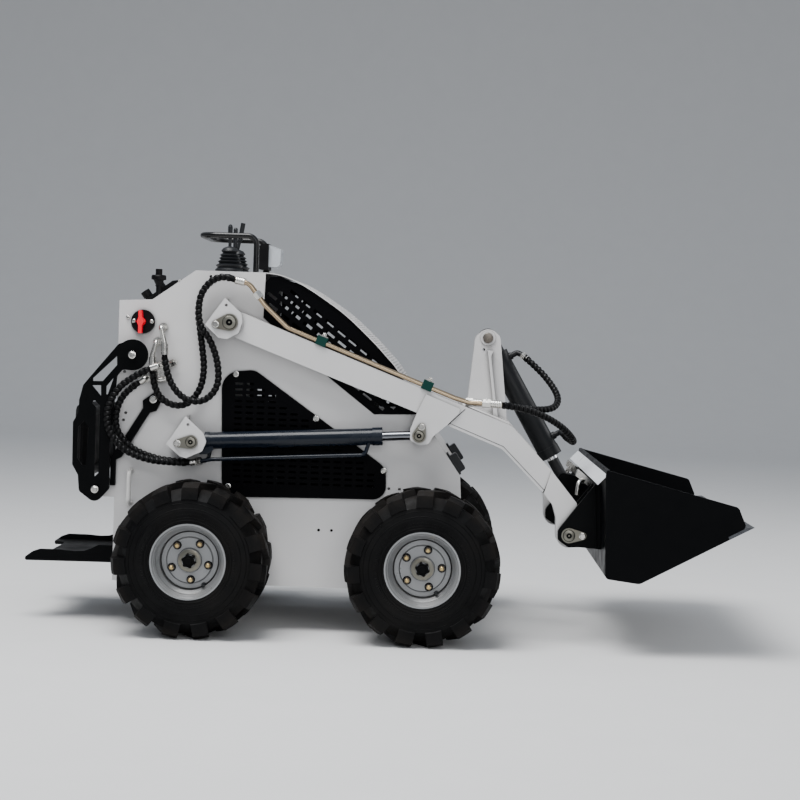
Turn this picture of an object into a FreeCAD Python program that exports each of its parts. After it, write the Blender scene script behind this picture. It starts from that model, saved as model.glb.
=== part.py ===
import FreeCAD, Part
import math
import os

# Skid steer loader, compact stand-on type, in millimetres, +X forward, +Y left, +Z up.
# Every outline below is drawn with x counted from the rear axle.
# save_all moves the finished nodes back by MID_X, so the length is centred on the origin.

V = FreeCAD.Vector

# Overall layout
MID_X = 547.0
WHEELBASE = 685.0
HUB_Z = 230.0
DECK_Z = 1087.0
BUCKET_HALF_WIDTH = 530.0

# Wheels
TYRE_RADIUS = 230.0
TYRE_INNER_Y = 300.0
TYRE_WIDTH = 220.0
LUG_HEIGHT = 18.0
LUG_COUNT = 15
LUG_WIDTH = 48.0
LUG_RAKE = 40.0
BEAD_RADIUS = 102.0
FLANGE_RADIUS = 112.0
BEAD_GAP = 0.3
WHEEL_BOLT_CIRCLE_RADIUS = 57.0
WHEEL_BOLT_COUNT = 5
WHEEL_BOLT_RADIUS = 8.0
FRONT_BOLT_PHASE = 75.0
REAR_BOLT_PHASE = 59.0
RIM_WALL = 5.0
RIM_STEP = 9.0
DISC_INSET = 66.0
DISC_PLATE = 8.0
MOTOR_RADIUS = 48.0
MOTOR_TO_RIM_GAP = 6.0
SHAFT_RADIUS = 20.0

# Body plates
BODY_REAR_X = -260.0
BODY_NOSE_X = 793.0
BODY_BOTTOM_Z = 138.0
SIDE_OUTER_Y = 290.0
SIDE_THICKNESS = 8.0
TUB_THICKNESS = 6.0
DECK_THICKNESS = 5.0
HOOD_THICKNESS = 3.0
HOOD_OVERHANG = 6.0
ACCESSORY_HOLE_RADIUS = 4.5

# Grilles
GRILLE_THICKNESS = 4.0
SLOT_LENGTH = 22.0
SLOT_HEIGHT = 6.5
SLOT_COLUMN_PITCH = 34.0
SLOT_ROW_PITCH = 17.5
SLANT_LENGTH = 32.0
SLANT_HEIGHT = 9.5
SLANT_ANGLE = 37.0

# Lift arms
ARM_PIVOT_X = 85.0
ARM_PIVOT_Z = 933.0
ARM_INNER_Y = 300.0
ARM_OUTER_Y = 355.0
ARM_TUBE_INSET = 6.0
ARM_PIN_RADIUS = 19.0
ARM_BOSS_RADIUS = 40.0
PIN_CLEARANCE = 0.5

# Pivot ears on the body
EAR_INNER_Y = 362.0
EAR_THICKNESS = 8.0
EAR_WALL = 8.0
KEEPER_THICKNESS = 5.0
KEEPER_MARGIN = 6.0
KEEPER_END_RADIUS = 11.0
KEEPER_BOLT_RADIUS = 7.5
KEEPER_BOLT_HEAD = 7.0

# Lift cylinders
LIFT_BASE_X = -20.0
LIFT_BASE_Z = 572.0
LIFT_ROD_X = 661.0
LIFT_ROD_Z = 613.0
LIFT_Y = 328.0
LIFT_BARREL_RADIUS = 27.5
LIFT_BARREL_START = 38.0
LIFT_BARREL_END = 572.0
LIFT_PIN_RADIUS = 14.0
LIFT_ROD_RADIUS = 14.0
LIFT_EYE_RADIUS = 23.0
EYE_SIDE_GAP = 6.0

# Tilt cylinder
TILT_BASE_X = 864.0
TILT_BASE_Z = 912.0
TILT_ROD_X = 1122.0
TILT_ROD_Z = 468.0
TILT_BARREL_RADIUS = 37.0
TILT_BARREL_START = 58.0
TILT_BARREL_END = 427.0
TILT_PIN_RADIUS = 15.5
TILT_ROD_RADIUS = 18.0
TILT_EYE_RADIUS = 26.0
TOWER_PLATE_INNER_Y = 44.0
TOWER_PLATE_THICKNESS = 10.0
TOWER_BOSS_RADIUS = 23.0
TOWER_RIB_HEIGHT = 22.0

# Coupler
COUPLER_PIVOT_X = 1117.0
COUPLER_PIVOT_Z = 332.0
COUPLER_PIN_RADIUS = 16.0
COUPLER_BACK_X = 1190.0
COUPLER_EAR_THICKNESS = 10.0
COUPLER_EAR_GAP = 5.0
FOOT_LOBE_RADIUS = 38.0

# Bucket
BUCKET_PLATE = 8.0
SEAT_GAP = 0.3

# Rear guard
GUARD_INNER_Y = 316.0
GUARD_PLATE = 8.0
GUARD_TUBE_RADIUS = 14.0
GUARD_BOLT_RADIUS = 11.0
STRUT_THICKNESS = 8.0
PAD_HALF_WIDTH = 240.0

# Platform
PLATFORM_HALF_WIDTH = 215.0
PLATFORM_Z = 191.0
PLATFORM_PLATE = 8.0
PLATFORM_TIP_X = -545.0

# Tie down loops
TIE_DOWN_X = -210.0
TIE_DOWN_RADIUS = 7.0
TIE_DOWN_HEIGHT = 98.0
TIE_DOWN_REACH = 40.0
TIE_DOWN_TYRE_GAP = 18.8

# Controls
HANDLEBAR_RADIUS = 9.0
HANDLEBAR_HALF_WIDTH = 150.0
HANDLEBAR_HEIGHT = 125.0
HANDLEBAR_CORNER_RADIUS = 55.0
HANDLEBAR_ELBOW_RADIUS = 28.0
POST_X = 136.0
LEVER_X = 47.0
LEVER_Y = 100.0
LEVER_STEM_RADIUS = 5.0
LAMP_FOOT_HEIGHT = 17.0
LAMP_HALF_WIDTH = 50.0
LAMP_FACE_X = 160.0
CONSOLE_HALF_WIDTH = 120.0
KNOB_X = -165.0
ISOLATOR_X = -186.0
ISOLATOR_Z = 927.0
ISOLATOR_RADIUS = 36.0
ISOLATOR_THICKNESS = 9.0

# Hoses and pipes
HOSE_DIAMETER = 20.0
FERRULE_RADIUS = 11.0
PIPE_DIAMETER = 14.0
PIPE_OUTER_Y = -345.0
PIPE_INNER_Y = -320.0


def block(x0, x1, y0, y1, z0, z1):
    """Box between two corners."""
    return Part.makeBox(x1 - x0, y1 - y0, z1 - z0, V(x0, y0, z0))


def rod(start, end, radius):
    """Round bar between two points."""
    axis = V(*end) - V(*start)
    return Part.makeCylinder(radius, axis.Length, V(*start), axis)


def rod_y(x, z, radius, y0, y1):
    """Round bar across the machine."""
    low, high = min(y0, y1), max(y0, y1)
    return Part.makeCylinder(radius, high - low, V(x, low, z), V(0, 1, 0))


def fuse(shapes):
    """One shape from several."""
    first = shapes[0]
    if len(shapes) == 1:
        return first
    return first.multiFuse(shapes[1:]).removeSplitter()


def mirrored(shape):
    """The same shape on the other side of the centre plane."""
    return shape.mirror(V(0, 0, 0), V(0, 1, 0))


def both_sides(shape):
    """The shape and its mirror image as one node."""
    return Part.makeCompound([shape, mirrored(shape)])


def corner_edges(points, radii, closed):
    """Straight edges joined by arcs of the given radii at each corner."""
    count = len(points)
    ends = []
    for i in range(count):
        here = points[i]
        radius = radii[i]
        inner = closed or 0 < i < count - 1
        if not inner or radius <= 0:
            ends.append((here, None, here))
            continue
        back = (points[i - 1] - here).normalize()
        ahead = (points[(i + 1) % count] - here).normalize()
        half = math.acos(max(-1.0, min(1.0, back.dot(ahead)))) / 2
        if half > math.radians(89.5):
            ends.append((here, None, here))
            continue
        reach = radius / math.tan(half)
        middle = (back + ahead).normalize()
        centre = here + middle * (radius / math.sin(half))
        top = centre - middle * radius
        ends.append((here + back * reach, top, here + ahead * reach))
    edges = []
    for i in range(count):
        start, top, end = ends[i]
        if top is not None:
            edges.append(Part.Arc(start, top, end).toShape())
        if i < count - 1 or closed:
            nxt = ends[(i + 1) % count][0]
            if (nxt - end).Length > 0.01:
                edges.append(Part.LineSegment(end, nxt).toShape())
    return edges


def plate(outline, y0, y1, radii=0):
    """Plate cut to an x, z outline, from y0 to y1, with rounded corners."""
    low, high = min(y0, y1), max(y0, y1)
    points = [V(x, low, z) for x, z in outline]
    if isinstance(radii, (int, float)):
        radii = [radii] * len(points)
    face = Part.Face(Part.Wire(corner_edges(points, radii, True)))
    return face.extrude(V(0, high - low, 0))


def pierced(outline, radii, holes, y0, y1):
    """Plate cut to an x, z outline with many small x, z cut-outs."""
    wires = []
    for points, rounding in [(outline, radii)] + [(hole, 0) for hole in holes]:
        corners = [V(x, y0, z) for x, z in points]
        if isinstance(rounding, (int, float)):
            rounding = [rounding] * len(corners)
        wires.append(Part.Wire(corner_edges(corners, rounding, True)))
    face = Part.makeFace(wires, "Part::FaceMakerBullseye")
    return face.extrude(V(0, y1 - y0, 0))


def slot_outline(x, z, length, height, degrees):
    """Corners of a straight slot turned about its middle."""
    turn = math.radians(degrees)
    corners = []
    for a, b in ((-1, -1), (1, -1), (1, 1), (-1, 1)):
        along, across = a * length / 2, b * height / 2
        corners.append((x + along * math.cos(turn) - across * math.sin(turn),
                        z + along * math.sin(turn) + across * math.cos(turn)))
    return corners


def inside(x, z, outline, margin):
    """Whether a point lies inside a clockwise convex outline by a margin."""
    for i in range(len(outline)):
        x0, z0 = outline[i - 1]
        x1, z1 = outline[i]
        length = math.hypot(x1 - x0, z1 - z0)
        if ((z1 - z0) * (x - x0) - (x1 - x0) * (z - z0)) / length < margin:
            return False
    return True


def turned(profile, centre_x, centre_z):
    """Solid turned about a crosswise axis from radius, y points."""
    points = [V(centre_x + r, y, centre_z) for r, y in profile]
    points.append(points[0])
    face = Part.Face(Part.makePolygon(points))
    return face.revolve(V(centre_x, 0, centre_z), V(0, 1, 0), 360)


def spun(profile, x, y, z):
    """Solid turned about an upright axis from radius, height points."""
    points = [V(x + r, y, z + h) for r, h in profile]
    points.append(points[0])
    face = Part.Face(Part.makePolygon(points))
    return face.revolve(V(x, y, z), V(0, 0, 1), 360)


def keeper(pin, pin_radius, bolt, y):
    """Teardrop flag over a pin's end, with its bolt."""
    big = pin_radius + KEEPER_MARGIN
    small = KEEPER_END_RADIUS
    reach = math.hypot(bolt[0] - pin[0], bolt[1] - pin[1])
    heading = math.atan2(bolt[1] - pin[1], bolt[0] - pin[0])
    lean = math.acos((big - small) / reach)
    corners = []
    for centre, radius, side in ((pin, big, 1), (bolt, small, 1), (bolt, small, -1), (pin, big, -1)):
        angle = heading + side * lean
        corners.append((centre[0] + radius * math.cos(angle), centre[1] + radius * math.sin(angle)))
    top = y + KEEPER_THICKNESS
    return fuse([rod_y(pin[0], pin[1], big, y, top), rod_y(bolt[0], bolt[1], small, y, top),
                 plate(corners, y, top), rod_y(bolt[0], bolt[1], KEEPER_BOLT_RADIUS, y, top + KEEPER_BOLT_HEAD)])


def pipe_bend(points, radius, bends):
    """Round tube along straight runs joined by arcs, of one bend radius or one for each point."""
    path = [V(*p) for p in points]
    if not isinstance(bends, list):
        bends = [bends] * len(path)
    wire = Part.Wire(corner_edges(path, bends, False))
    ring = Part.Wire(Part.makeCircle(radius, path[0], path[1] - path[0]))
    return wire.makePipeShell([ring], True, False)


def cord(points, diameter, name):
    """Hose along straight runs joined by the largest arcs that fit."""
    path = [V(*p) for p in points]
    radii = [0.0] * len(path)
    for i in range(1, len(path) - 1):
        before = path[i] - path[i - 1]
        after = path[i + 1] - path[i]
        half_turn = before.getAngle(after) / 2
        shorter = min(before.Length, after.Length)
        radii[i] = 0.45 * shorter / math.tan(half_turn)
    print(name, "radii in diameters", [round(r / diameter, 1) for r in radii[1:-1]])
    wire = Part.Wire(corner_edges(path, radii, False))
    ring = Part.Wire(Part.makeCircle(diameter / 2, path[0], path[1] - path[0]))
    solid = wire.makePipeShell([ring], True, False)
    print(name, "length", round(wire.Length), "mm")
    return solid


# Wheels

def lug(inner, outer):
    """One raked lug of the outer half of the tread, cut from a ring of the tread's outline."""
    middle = (inner + outer) / 2
    foot = TYRE_RADIUS - LUG_HEIGHT
    ring = turned([
        (foot - 10, middle), (foot - 10, outer - 46), (foot - 38, outer - 14), (foot - 28, outer - 3),
        (TYRE_RADIUS - 12, outer - 7), (TYRE_RADIUS, outer - 32), (TYRE_RADIUS, middle)], 0, 0)
    half = LUG_WIDTH / 2
    corners = [(-half, outer + 2), (half, outer + 2), (half + 4, outer - 44), (half + LUG_RAKE, middle + 5),
               (half + LUG_RAKE - 18, middle + 5), (-half + 6, outer - 50)]
    path = [V(t, y, foot - 45) for t, y in corners]
    prism = Part.Face(Part.makePolygon(path + path[:1])).extrude(V(0, 0, LUG_HEIGHT + 60))
    return ring.common(prism)


def tyre():
    """Left tyre at the origin: carcass with two staggered rows of lugs."""
    inner = TYRE_INNER_Y
    outer = TYRE_INNER_Y + TYRE_WIDTH
    tread = TYRE_RADIUS - LUG_HEIGHT
    carcass = turned([
        (BEAD_RADIUS + BEAD_GAP, inner + 14), (FLANGE_RADIUS + 0.5, inner + 12.5),
        (FLANGE_RADIUS + 2, inner + 6), (150, inner), (tread - 30, inner + 6), (tread, inner + 46),
        (tread, outer - 46), (tread - 30, outer - 6), (150, outer), (FLANGE_RADIUS + 2, outer - 6),
        (FLANGE_RADIUS + 0.5, outer - 12.5), (BEAD_RADIUS + BEAD_GAP, outer - 14)], 0, 0)
    outer_lug = lug(inner, outer)
    inner_lug = outer_lug.mirror(V(0, (inner + outer) / 2, 0), V(0, 1, 0))
    step = 360 / LUG_COUNT
    lugs = []
    for i in range(LUG_COUNT):
        for piece, phase in ((outer_lug, i * step), (inner_lug, (i + 0.5) * step)):
            copy = piece.copy()
            copy.rotate(V(0, 0, 0), V(0, 1, 0), phase)
            lugs.append(copy)
    return carcass.multiFuse(lugs)


def at_wheel(shape, centre_x, side):
    """A left wheel piece made at the origin, put at one of the four hubs."""
    moved = shape.copy() if side > 0 else mirrored(shape)
    moved.translate(V(centre_x, 0, HUB_Z))
    return moved


def rim():
    """Left rim at the origin: barrel with two flanges and the step that the disc sits against."""
    inner = TYRE_INNER_Y
    outer = TYRE_INNER_Y + TYRE_WIDTH
    disc_y = outer - DISC_INSET
    well = BEAD_RADIUS - RIM_WALL
    throat = well - RIM_STEP
    return turned([
        (well, inner + 7), (FLANGE_RADIUS, inner + 7), (FLANGE_RADIUS, inner + 12),
        (BEAD_RADIUS, inner + 13), (BEAD_RADIUS, outer - 13), (FLANGE_RADIUS, outer - 12),
        (FLANGE_RADIUS, outer - 7), (FLANGE_RADIUS - 5, outer - 7), (well, outer - 22),
        (well, outer - 36), (throat, outer - 46), (throat, disc_y), (well, disc_y)], 0, 0)


def wheel_disc(phase):
    """Left wheel disc at the origin: dished plate, hub face and wheel bolts from a phase angle."""
    disc_y = TYRE_INNER_Y + TYRE_WIDTH - DISC_INSET
    edge = BEAD_RADIUS - RIM_WALL - SEAT_GAP
    throat = BEAD_RADIUS - RIM_WALL - RIM_STEP
    bore = SHAFT_RADIUS + PIN_CLEARANCE
    pieces = [turned([
        (bore, disc_y - 14), (44, disc_y - 14), (44, disc_y), (throat - 10, disc_y),
        (throat - 6, disc_y - DISC_PLATE), (edge, disc_y - DISC_PLATE), (edge, disc_y),
        (throat - 1, disc_y), (throat - 5, disc_y + DISC_PLATE), (70, disc_y + DISC_PLATE),
        (66, disc_y + 12), (37, disc_y + 12), (34, disc_y + 20), (19, disc_y + 20),
        (19, disc_y + 38), (0, disc_y + 38), (0, disc_y + 30), (bore - 6, disc_y + 30),
        (bore, disc_y + 24)], 0, 0)]
    for i in range(WHEEL_BOLT_COUNT):
        angle = math.radians(phase + 360 * i / WHEEL_BOLT_COUNT)
        x = WHEEL_BOLT_CIRCLE_RADIUS * math.cos(angle)
        z = WHEEL_BOLT_CIRCLE_RADIUS * math.sin(angle)
        pieces.append(rod_y(x, z, WHEEL_BOLT_RADIUS, disc_y + 4, disc_y + 22))
    return fuse(pieces)


def wheel_motors():
    """Hydraulic wheel motors, fixed on the side plates behind the rims."""
    hub_y = TYRE_INNER_Y + TYRE_WIDTH - DISC_INSET - 14 - MOTOR_TO_RIM_GAP
    pieces = []
    for x in (0.0, WHEELBASE):
        body = fuse([rod_y(x, HUB_Z, 62, SIDE_OUTER_Y, SIDE_OUTER_Y + 10),
                     rod_y(x, HUB_Z, MOTOR_RADIUS, SIDE_OUTER_Y, hub_y),
                     rod_y(x, HUB_Z, SHAFT_RADIUS, SIDE_OUTER_Y, hub_y + 30)])
        pieces += [body, mirrored(body)]
    return Part.makeCompound(pieces)


# Body

SLOPE_FOOT = (-160.0, 995.0)
SLOPE_HEAD = (-31.0, DECK_Z)
SIDE_OUTLINE = [
    (BODY_REAR_X, BODY_BOTTOM_Z), (BODY_REAR_X, 392), (-336, 392), (-336, 448), (BODY_REAR_X, 448),
    (BODY_REAR_X, 990), SLOPE_FOOT, SLOPE_HEAD, (181, DECK_Z), (177, 950), (384, 774), (522, 669),
    (646, 673), (706, 611), (788, 492), (BODY_NOSE_X, 420), (BODY_NOSE_X, BODY_BOTTOM_Z)]
SIDE_OPENING = [(80, 760), (150, 770), (385, 608), (545, 500), (548, 432), (90, 424)]
SIDE_HOLES = [(574, 446), (606, 446), (404, 313), (15, DECK_Z - 17), (-232, 649), (-238, 627),
              (-239, 774)]


def side_plate(side):
    """Flat cut side plate of the body."""
    low, high = SIDE_OUTER_Y - SIDE_THICKNESS, SIDE_OUTER_Y
    solid = plate(SIDE_OUTLINE, low, high)
    solid = solid.cut(plate(SIDE_OPENING, low - 5, high + 5, 30))
    for x, z in SIDE_HOLES:
        solid = solid.cut(rod_y(x, z, ACCESSORY_HOLE_RADIUS, low - 5, high + 5))
    return solid if side > 0 else mirrored(solid)


def lower_tub():
    """Floor, rear wall and nose wall between the side plates."""
    half = SIDE_OUTER_Y - SIDE_THICKNESS
    t = TUB_THICKNESS
    floor = block(BODY_REAR_X, BODY_NOSE_X, -half, half, BODY_BOTTOM_Z, BODY_BOTTOM_Z + t)
    rear = block(BODY_REAR_X, BODY_REAR_X + t, -half, half, BODY_BOTTOM_Z, 984)
    nose = plate([(BODY_NOSE_X, BODY_BOTTOM_Z), (BODY_NOSE_X, 420), (788, 492), (706, 611), (701, 607),
                  (782, 489), (BODY_NOSE_X - t, 420), (BODY_NOSE_X - t, BODY_BOTTOM_Z)], -half, half)
    return fuse([floor, rear, nose])


def top_deck():
    """Bent deck sheet from the rear wall up over the slope to the hood."""
    half = SIDE_OUTER_Y - SIDE_THICKNESS
    under = DECK_Z - DECK_THICKNESS
    outline = [(BODY_REAR_X, 990), SLOPE_FOOT, SLOPE_HEAD, (181, DECK_Z), (181, under),
               (SLOPE_HEAD[0] + 2, under), (SLOPE_FOOT[0] + 2, 990), (BODY_REAR_X + TUB_THICKNESS, 984),
               (BODY_REAR_X, 984)]
    return plate(outline, -half, half)


HOOD_ARC = [(181.5, DECK_Z), (227, 1081), (285, 1059), (353, 1019), (424, 970), (490, 912),
            (549, 853), (602, 789), (708.5, 613.5)]


def hood_grille():
    """Curved hood sheet down to the nose."""
    half = SIDE_OUTER_Y + HOOD_OVERHANG
    top = [V(x, -half, z) for x, z in HOOD_ARC]
    low = [V(x - 2.0, -half, z - HOOD_THICKNESS) for x, z in HOOD_ARC]
    low[0].x = HOOD_ARC[0][0]
    wire = Part.makePolygon(top + low[::-1] + [top[0]])
    return Part.Face(wire).extrude(V(0, 2 * half, 0))


def hood_sides():
    """Black panels with slanted slots between the hood and the side plates."""
    arc = [(x - 3.0, z - 4.5) for x, z in HOOD_ARC[1:-1]]
    outline = [(181, 1058), (196, 1074)] + arc + [(662, 677), (647, 674), (522, 670), (384, 775),
                                                  (178, 951)]
    slots = []
    for row in range(-4, 12):
        for column in range(-12, 20):
            x = 242 + 33.5 * column + 3.0 * row
            z = 955 + 4.6 * column - 33.0 * row
            if inside(x, z, outline, 22):
                slots.append(slot_outline(x, z, SLANT_LENGTH, SLANT_HEIGHT, -SLANT_ANGLE))
    y1 = SIDE_OUTER_Y - 1
    return both_sides(pierced(outline, 0, slots, y1 - GRILLE_THICKNESS, y1))


def side_grilles():
    """Black panels with rows of level slots, bolted on the side plates."""
    outline = [(57, 782), (157, 792), (396, 626), (563, 509), (566, 413), (68, 405)]
    slots = []
    for row in range(20):
        for column in range(14):
            x = 110 + SLOT_COLUMN_PITCH * column
            z = 749 - SLOT_ROW_PITCH * row
            if inside(x, z, outline, 30):
                slots.append(slot_outline(x, z, SLOT_LENGTH, SLOT_HEIGHT, 0))
    panel = pierced(outline, [55, 40, 120, 50, 40, 55], slots, SIDE_OUTER_Y, SIDE_OUTER_Y + GRILLE_THICKNESS)
    return both_sides(panel)


def engine_block():
    """Engine and pump as one plain mass on the floor."""
    return block(40, 520, -170, 170, BODY_BOTTOM_Z + TUB_THICKNESS, 690)


# Pivot ears

EAR_TABLE = (
    # outline of the ear, whose first three points carry the folded wall, then pivot x, pivot z,
    # pin radius, keeper bolt and the ear's spare hole
    (((69, 1005), (12, 924), (53, 886), (78, 883), (112, 901), (123, 935), (119, 961)),
     ARM_PIVOT_X, ARM_PIVOT_Z, ARM_PIN_RADIUS, (44, 926), (74, 984)),
    (((-38, 648), (-94, 563), (-52, 528), (-34, 523), (14, 545), (26, 574), (16, 599)),
     LIFT_BASE_X, LIFT_BASE_Z, LIFT_PIN_RADIUS, (-60, 567), (-30, 624)),
)


def pivot_brackets():
    """Outer ears of the arm and lift cylinder pivots, with walls, pins and keepers."""
    pieces = []
    outer = EAR_INNER_Y + EAR_THICKNESS
    for outline, px, pz, pin, bolt, hole in EAR_TABLE:
        ear = plate(outline, EAR_INNER_Y, outer, [0, 0, 0, 6, 12, 12, 12])
        ear = ear.cut(rod_y(hole[0], hole[1], ACCESSORY_HOLE_RADIUS, EAR_INNER_Y - 5, outer + 5))
        wall = list(outline[:3])
        inner = []
        for x, z in wall:
            away = V(px - x, 0, pz - z).normalize()
            inner.append((x + away.x * EAR_WALL, z + away.z * EAR_WALL))
        walls = plate(wall + inner[::-1], SIDE_OUTER_Y, EAR_INNER_Y)
        axle = rod_y(px, pz, pin, SIDE_OUTER_Y, outer + 4)
        pieces.append(fuse([ear, walls, axle, keeper((px, pz), pin, bolt, outer)]))
    return Part.makeCompound(pieces + [mirrored(p) for p in pieces])


# Controls

def handlebar():
    """Bent tube handlebar on two posts."""
    w = HANDLEBAR_HALF_WIDTH
    top = DECK_Z + HANDLEBAR_HEIGHT - HANDLEBAR_RADIUS
    path = [(POST_X, -w, DECK_Z), (POST_X, -w, top), (-38, -w, top), (-38, w, top),
            (POST_X, w, top), (POST_X, w, DECK_Z)]
    elbow, corner = HANDLEBAR_ELBOW_RADIUS, HANDLEBAR_CORNER_RADIUS
    return pipe_bend(path, HANDLEBAR_RADIUS, [0, elbow, corner, corner, elbow, 0])


BOOT_PROFILE = [
    # radius, height above the deck
    (0, 0), (44, 0), (44, 11), (37, 18), (43, 25), (31, 31), (37, 37), (27, 42), (33.5, 47),
    (25, 52), (31, 57), (21, 63), (27, 70), (20, 79), (8, 84), (0, 84)]
KNOB_PROFILE = [(0, 108), (5.5, 108), (7.5, 112), (7.5, 145), (5.5, 151), (0, 154)]


def control_levers():
    """Two drive levers in folded boots and a plain black lever between them."""
    foot = DECK_Z + 78
    near, far = -LEVER_Y, LEVER_Y
    knobbed = fuse([spun(BOOT_PROFILE, LEVER_X, near, DECK_Z),
                    rod((LEVER_X, near, foot), (LEVER_X, near, DECK_Z + 110), LEVER_STEM_RADIUS),
                    spun(KNOB_PROFILE, LEVER_X, near, DECK_Z)])
    gripped = fuse([spun(BOOT_PROFILE, LEVER_X, far, DECK_Z),
                    rod((LEVER_X, far, foot), (LEVER_X + 9, far, DECK_Z + 118), LEVER_STEM_RADIUS),
                    rod((LEVER_X + 8, far, DECK_Z + 112), (LEVER_X + 17, far, DECK_Z + 170), 7.5)])
    middle = spun([(0, 0), (16, 0), (16, 4), (5, 5), (5, 84), (6.8, 88), (6.8, 144), (4, 149), (0, 149)],
                  LEVER_X + 5, 0, DECK_Z)
    return Part.makeCompound([knobbed, gripped, middle])


def work_lamp():
    """Lamp housing on its bracket."""
    z0 = DECK_Z + LAMP_FOOT_HEIGHT
    w = LAMP_HALF_WIDTH
    housing = plate([(130, z0), (127, z0 + 64), (136, z0 + 78), (LAMP_FACE_X, z0 + 85),
                     (LAMP_FACE_X, z0)], -w, w, [10, 10, 12, 4, 0])
    foot = block(138, 176, -26, 26, DECK_Z, DECK_Z + 4)
    neck = block(146, 162, -16, 16, DECK_Z, z0 + 2)
    return fuse([housing, foot, neck])


def lamp_lens():
    """Clear lens in front of the housing, leaning back at its lower edge."""
    z0 = DECK_Z + LAMP_FOOT_HEIGHT
    w = LAMP_HALF_WIDTH - 4
    return plate([(LAMP_FACE_X, z0 + 9), (LAMP_FACE_X, z0 + 81), (203, z0 + 65), (201, z0 + 20),
                  (190, z0 + 9)], -w, w, [0, 0, 6, 8, 6])


def isolator_switch():
    """Round base of the battery isolator with its two screws, on the right side plate."""
    face = -SIDE_OUTER_Y - ISOLATOR_THICKNESS
    base = rod_y(ISOLATOR_X, ISOLATOR_Z, ISOLATOR_RADIUS, -SIDE_OUTER_Y, face)
    screws = [rod_y(ISOLATOR_X + dx, ISOLATOR_Z + 1, 5.5, face, face - 3) for dx in (-27, 27)]
    return fuse([base] + screws)


KEY_OUTLINE = [(-9, 34), (0, 34), (2, 13), (8, 0), (2, -12), (2, -35), (-9, -35), (-9, -12), (-14, 0),
               (-9, 13)]


def isolator_key():
    """Key of the battery isolator."""
    y = -SIDE_OUTER_Y - ISOLATOR_THICKNESS
    bow = plate([(ISOLATOR_X + x, ISOLATOR_Z + z) for x, z in KEY_OUTLINE], y - 6, y - 30)
    return fuse([rod_y(ISOLATOR_X - 3, ISOLATOR_Z, 12, y, y - 8), bow])


def on_slope(along, out):
    """Point x, z on the rear slope, measured from its foot and square to it."""
    run = V(SLOPE_HEAD[0] - SLOPE_FOOT[0], 0, SLOPE_HEAD[1] - SLOPE_FOOT[1]).normalize()
    return (SLOPE_FOOT[0] + run.x * along - run.z * out, SLOPE_FOOT[1] + run.z * along + run.x * out)


CONSOLE_OUTLINE = [(0, 0.3), (118, 0.3), (118, 8), (74, 27), (64, 32), (-38, 32), (-38, 25)]
CONSOLE_CAPS = [
    # along the slope, y, cap radius
    (-31, -84, 15), (17, -60, 14)]


def console_panel():
    """Console on the rear slope with two capped sockets and a pull knob at its foot."""
    half = CONSOLE_HALF_WIDTH
    pieces = [plate([on_slope(a, o) for a, o in CONSOLE_OUTLINE], -half, half)]
    for along, y, radius in CONSOLE_CAPS:
        foot, low, high = on_slope(along, 30), on_slope(along, 37), on_slope(along, 57)
        pieces.append(rod((foot[0], y, foot[1]), (low[0], y, low[1]), radius - 3))
        pieces.append(rod((low[0], y, low[1]), (high[0], y, high[1]), radius))
    foot_z = SLOPE_FOOT[1] + 0.3
    knob = spun([(0, 0), (5, 0), (5, 2), (8, 6), (8, 46), (10.5, 50), (16, 62), (23, 64), (23, 74),
                 (21, 78), (10.5, 79), (10.5, 97), (0, 97)], KNOB_X, -150, foot_z)
    return Part.makeCompound([fuse(pieces), knob])


def tie_down_loops():
    """Welded tie down handles on the side plates, above the rear tyres."""
    reach = TYRE_RADIUS + TIE_DOWN_RADIUS + TIE_DOWN_TYRE_GAP
    low = HUB_Z + math.sqrt(reach ** 2 - TIE_DOWN_X ** 2)
    high = low + TIE_DOWN_HEIGHT
    x, y0, y1 = TIE_DOWN_X, SIDE_OUTER_Y, SIDE_OUTER_Y + TIE_DOWN_REACH
    return both_sides(pipe_bend([(x, y0, low), (x, y1, low), (x, y1, high), (x, y0, high)],
                                TIE_DOWN_RADIUS, 16))


def bump_stops():
    """Rubber stops for the arms, each on its strip on the nose plate."""
    foot = V(788, 0, 492)
    run = (V(706, 0, 611) - foot).normalize()
    out = V(-run.z, 0, run.x) * -1

    def outline(low, high, inner, outer):
        spots = [foot + run * a + out * b
                 for a, b in ((low, inner), (low, outer), (high, outer), (high, inner))]
        return [(spot.x, spot.z) for spot in spots]

    strip = plate(outline(2, 78, SEAT_GAP, 6), 210, 270)
    pad = plate(outline(8, 66, 5, 26), 215, 265, [0, 5, 5, 0])
    return both_sides(fuse([strip, pad]))


# Rear guard and platform

GUARD_OUTLINE = [
    (-211, 871), (-253, 858), (-335, 758), (-357, 730), (-368, 685), (-369, 646), (-385, 618),
    (-384, 489), (-366, 458), (-362, 410), (-311, 372), (-270, 420), (-272, 552), (-255, 761),
    (-240, 780), (-211, 780), (-163, 828)]
GUARD_RADII = [15, 15, 0, 15, 15, 10, 12, 12, 15, 15, 25, 12, 0, 8, 8, 12, 15]
GUARD_WINDOWS = [
    [(-257, 821), (-256, 794), (-298, 744), (-328, 743), (-328, 752)],
    [(-330, 730), (-303, 731), (-302, 698)],
    [(-265, 756), (-287, 729), (-287, 704), (-282, 704)],
    [(-326, 684), (-318, 684), (-304, 669), (-304, 466), (-316, 454), (-316, 664), (-328, 676)],
    [(-369, 601), (-352, 623), (-337, 601), (-343, 488), (-354, 488), (-370, 510)]]
GUARD_TUBES = [(-345, 648), (-345, 466)]
GUARD_BOLTS = [(-210, 826), (-312, 417)]
STRUT_OUTLINE = [
    (-148, 712), (-126, 684), (-138, 658), (-158, 652), (-217, 553), (-240, 514), (-257, 506),
    (-257, 428), (-273, 428), (-273, 514), (-236, 570), (-178, 666), (-180, 688)]
STRUT_BOLT = (-147, 693)


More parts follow.
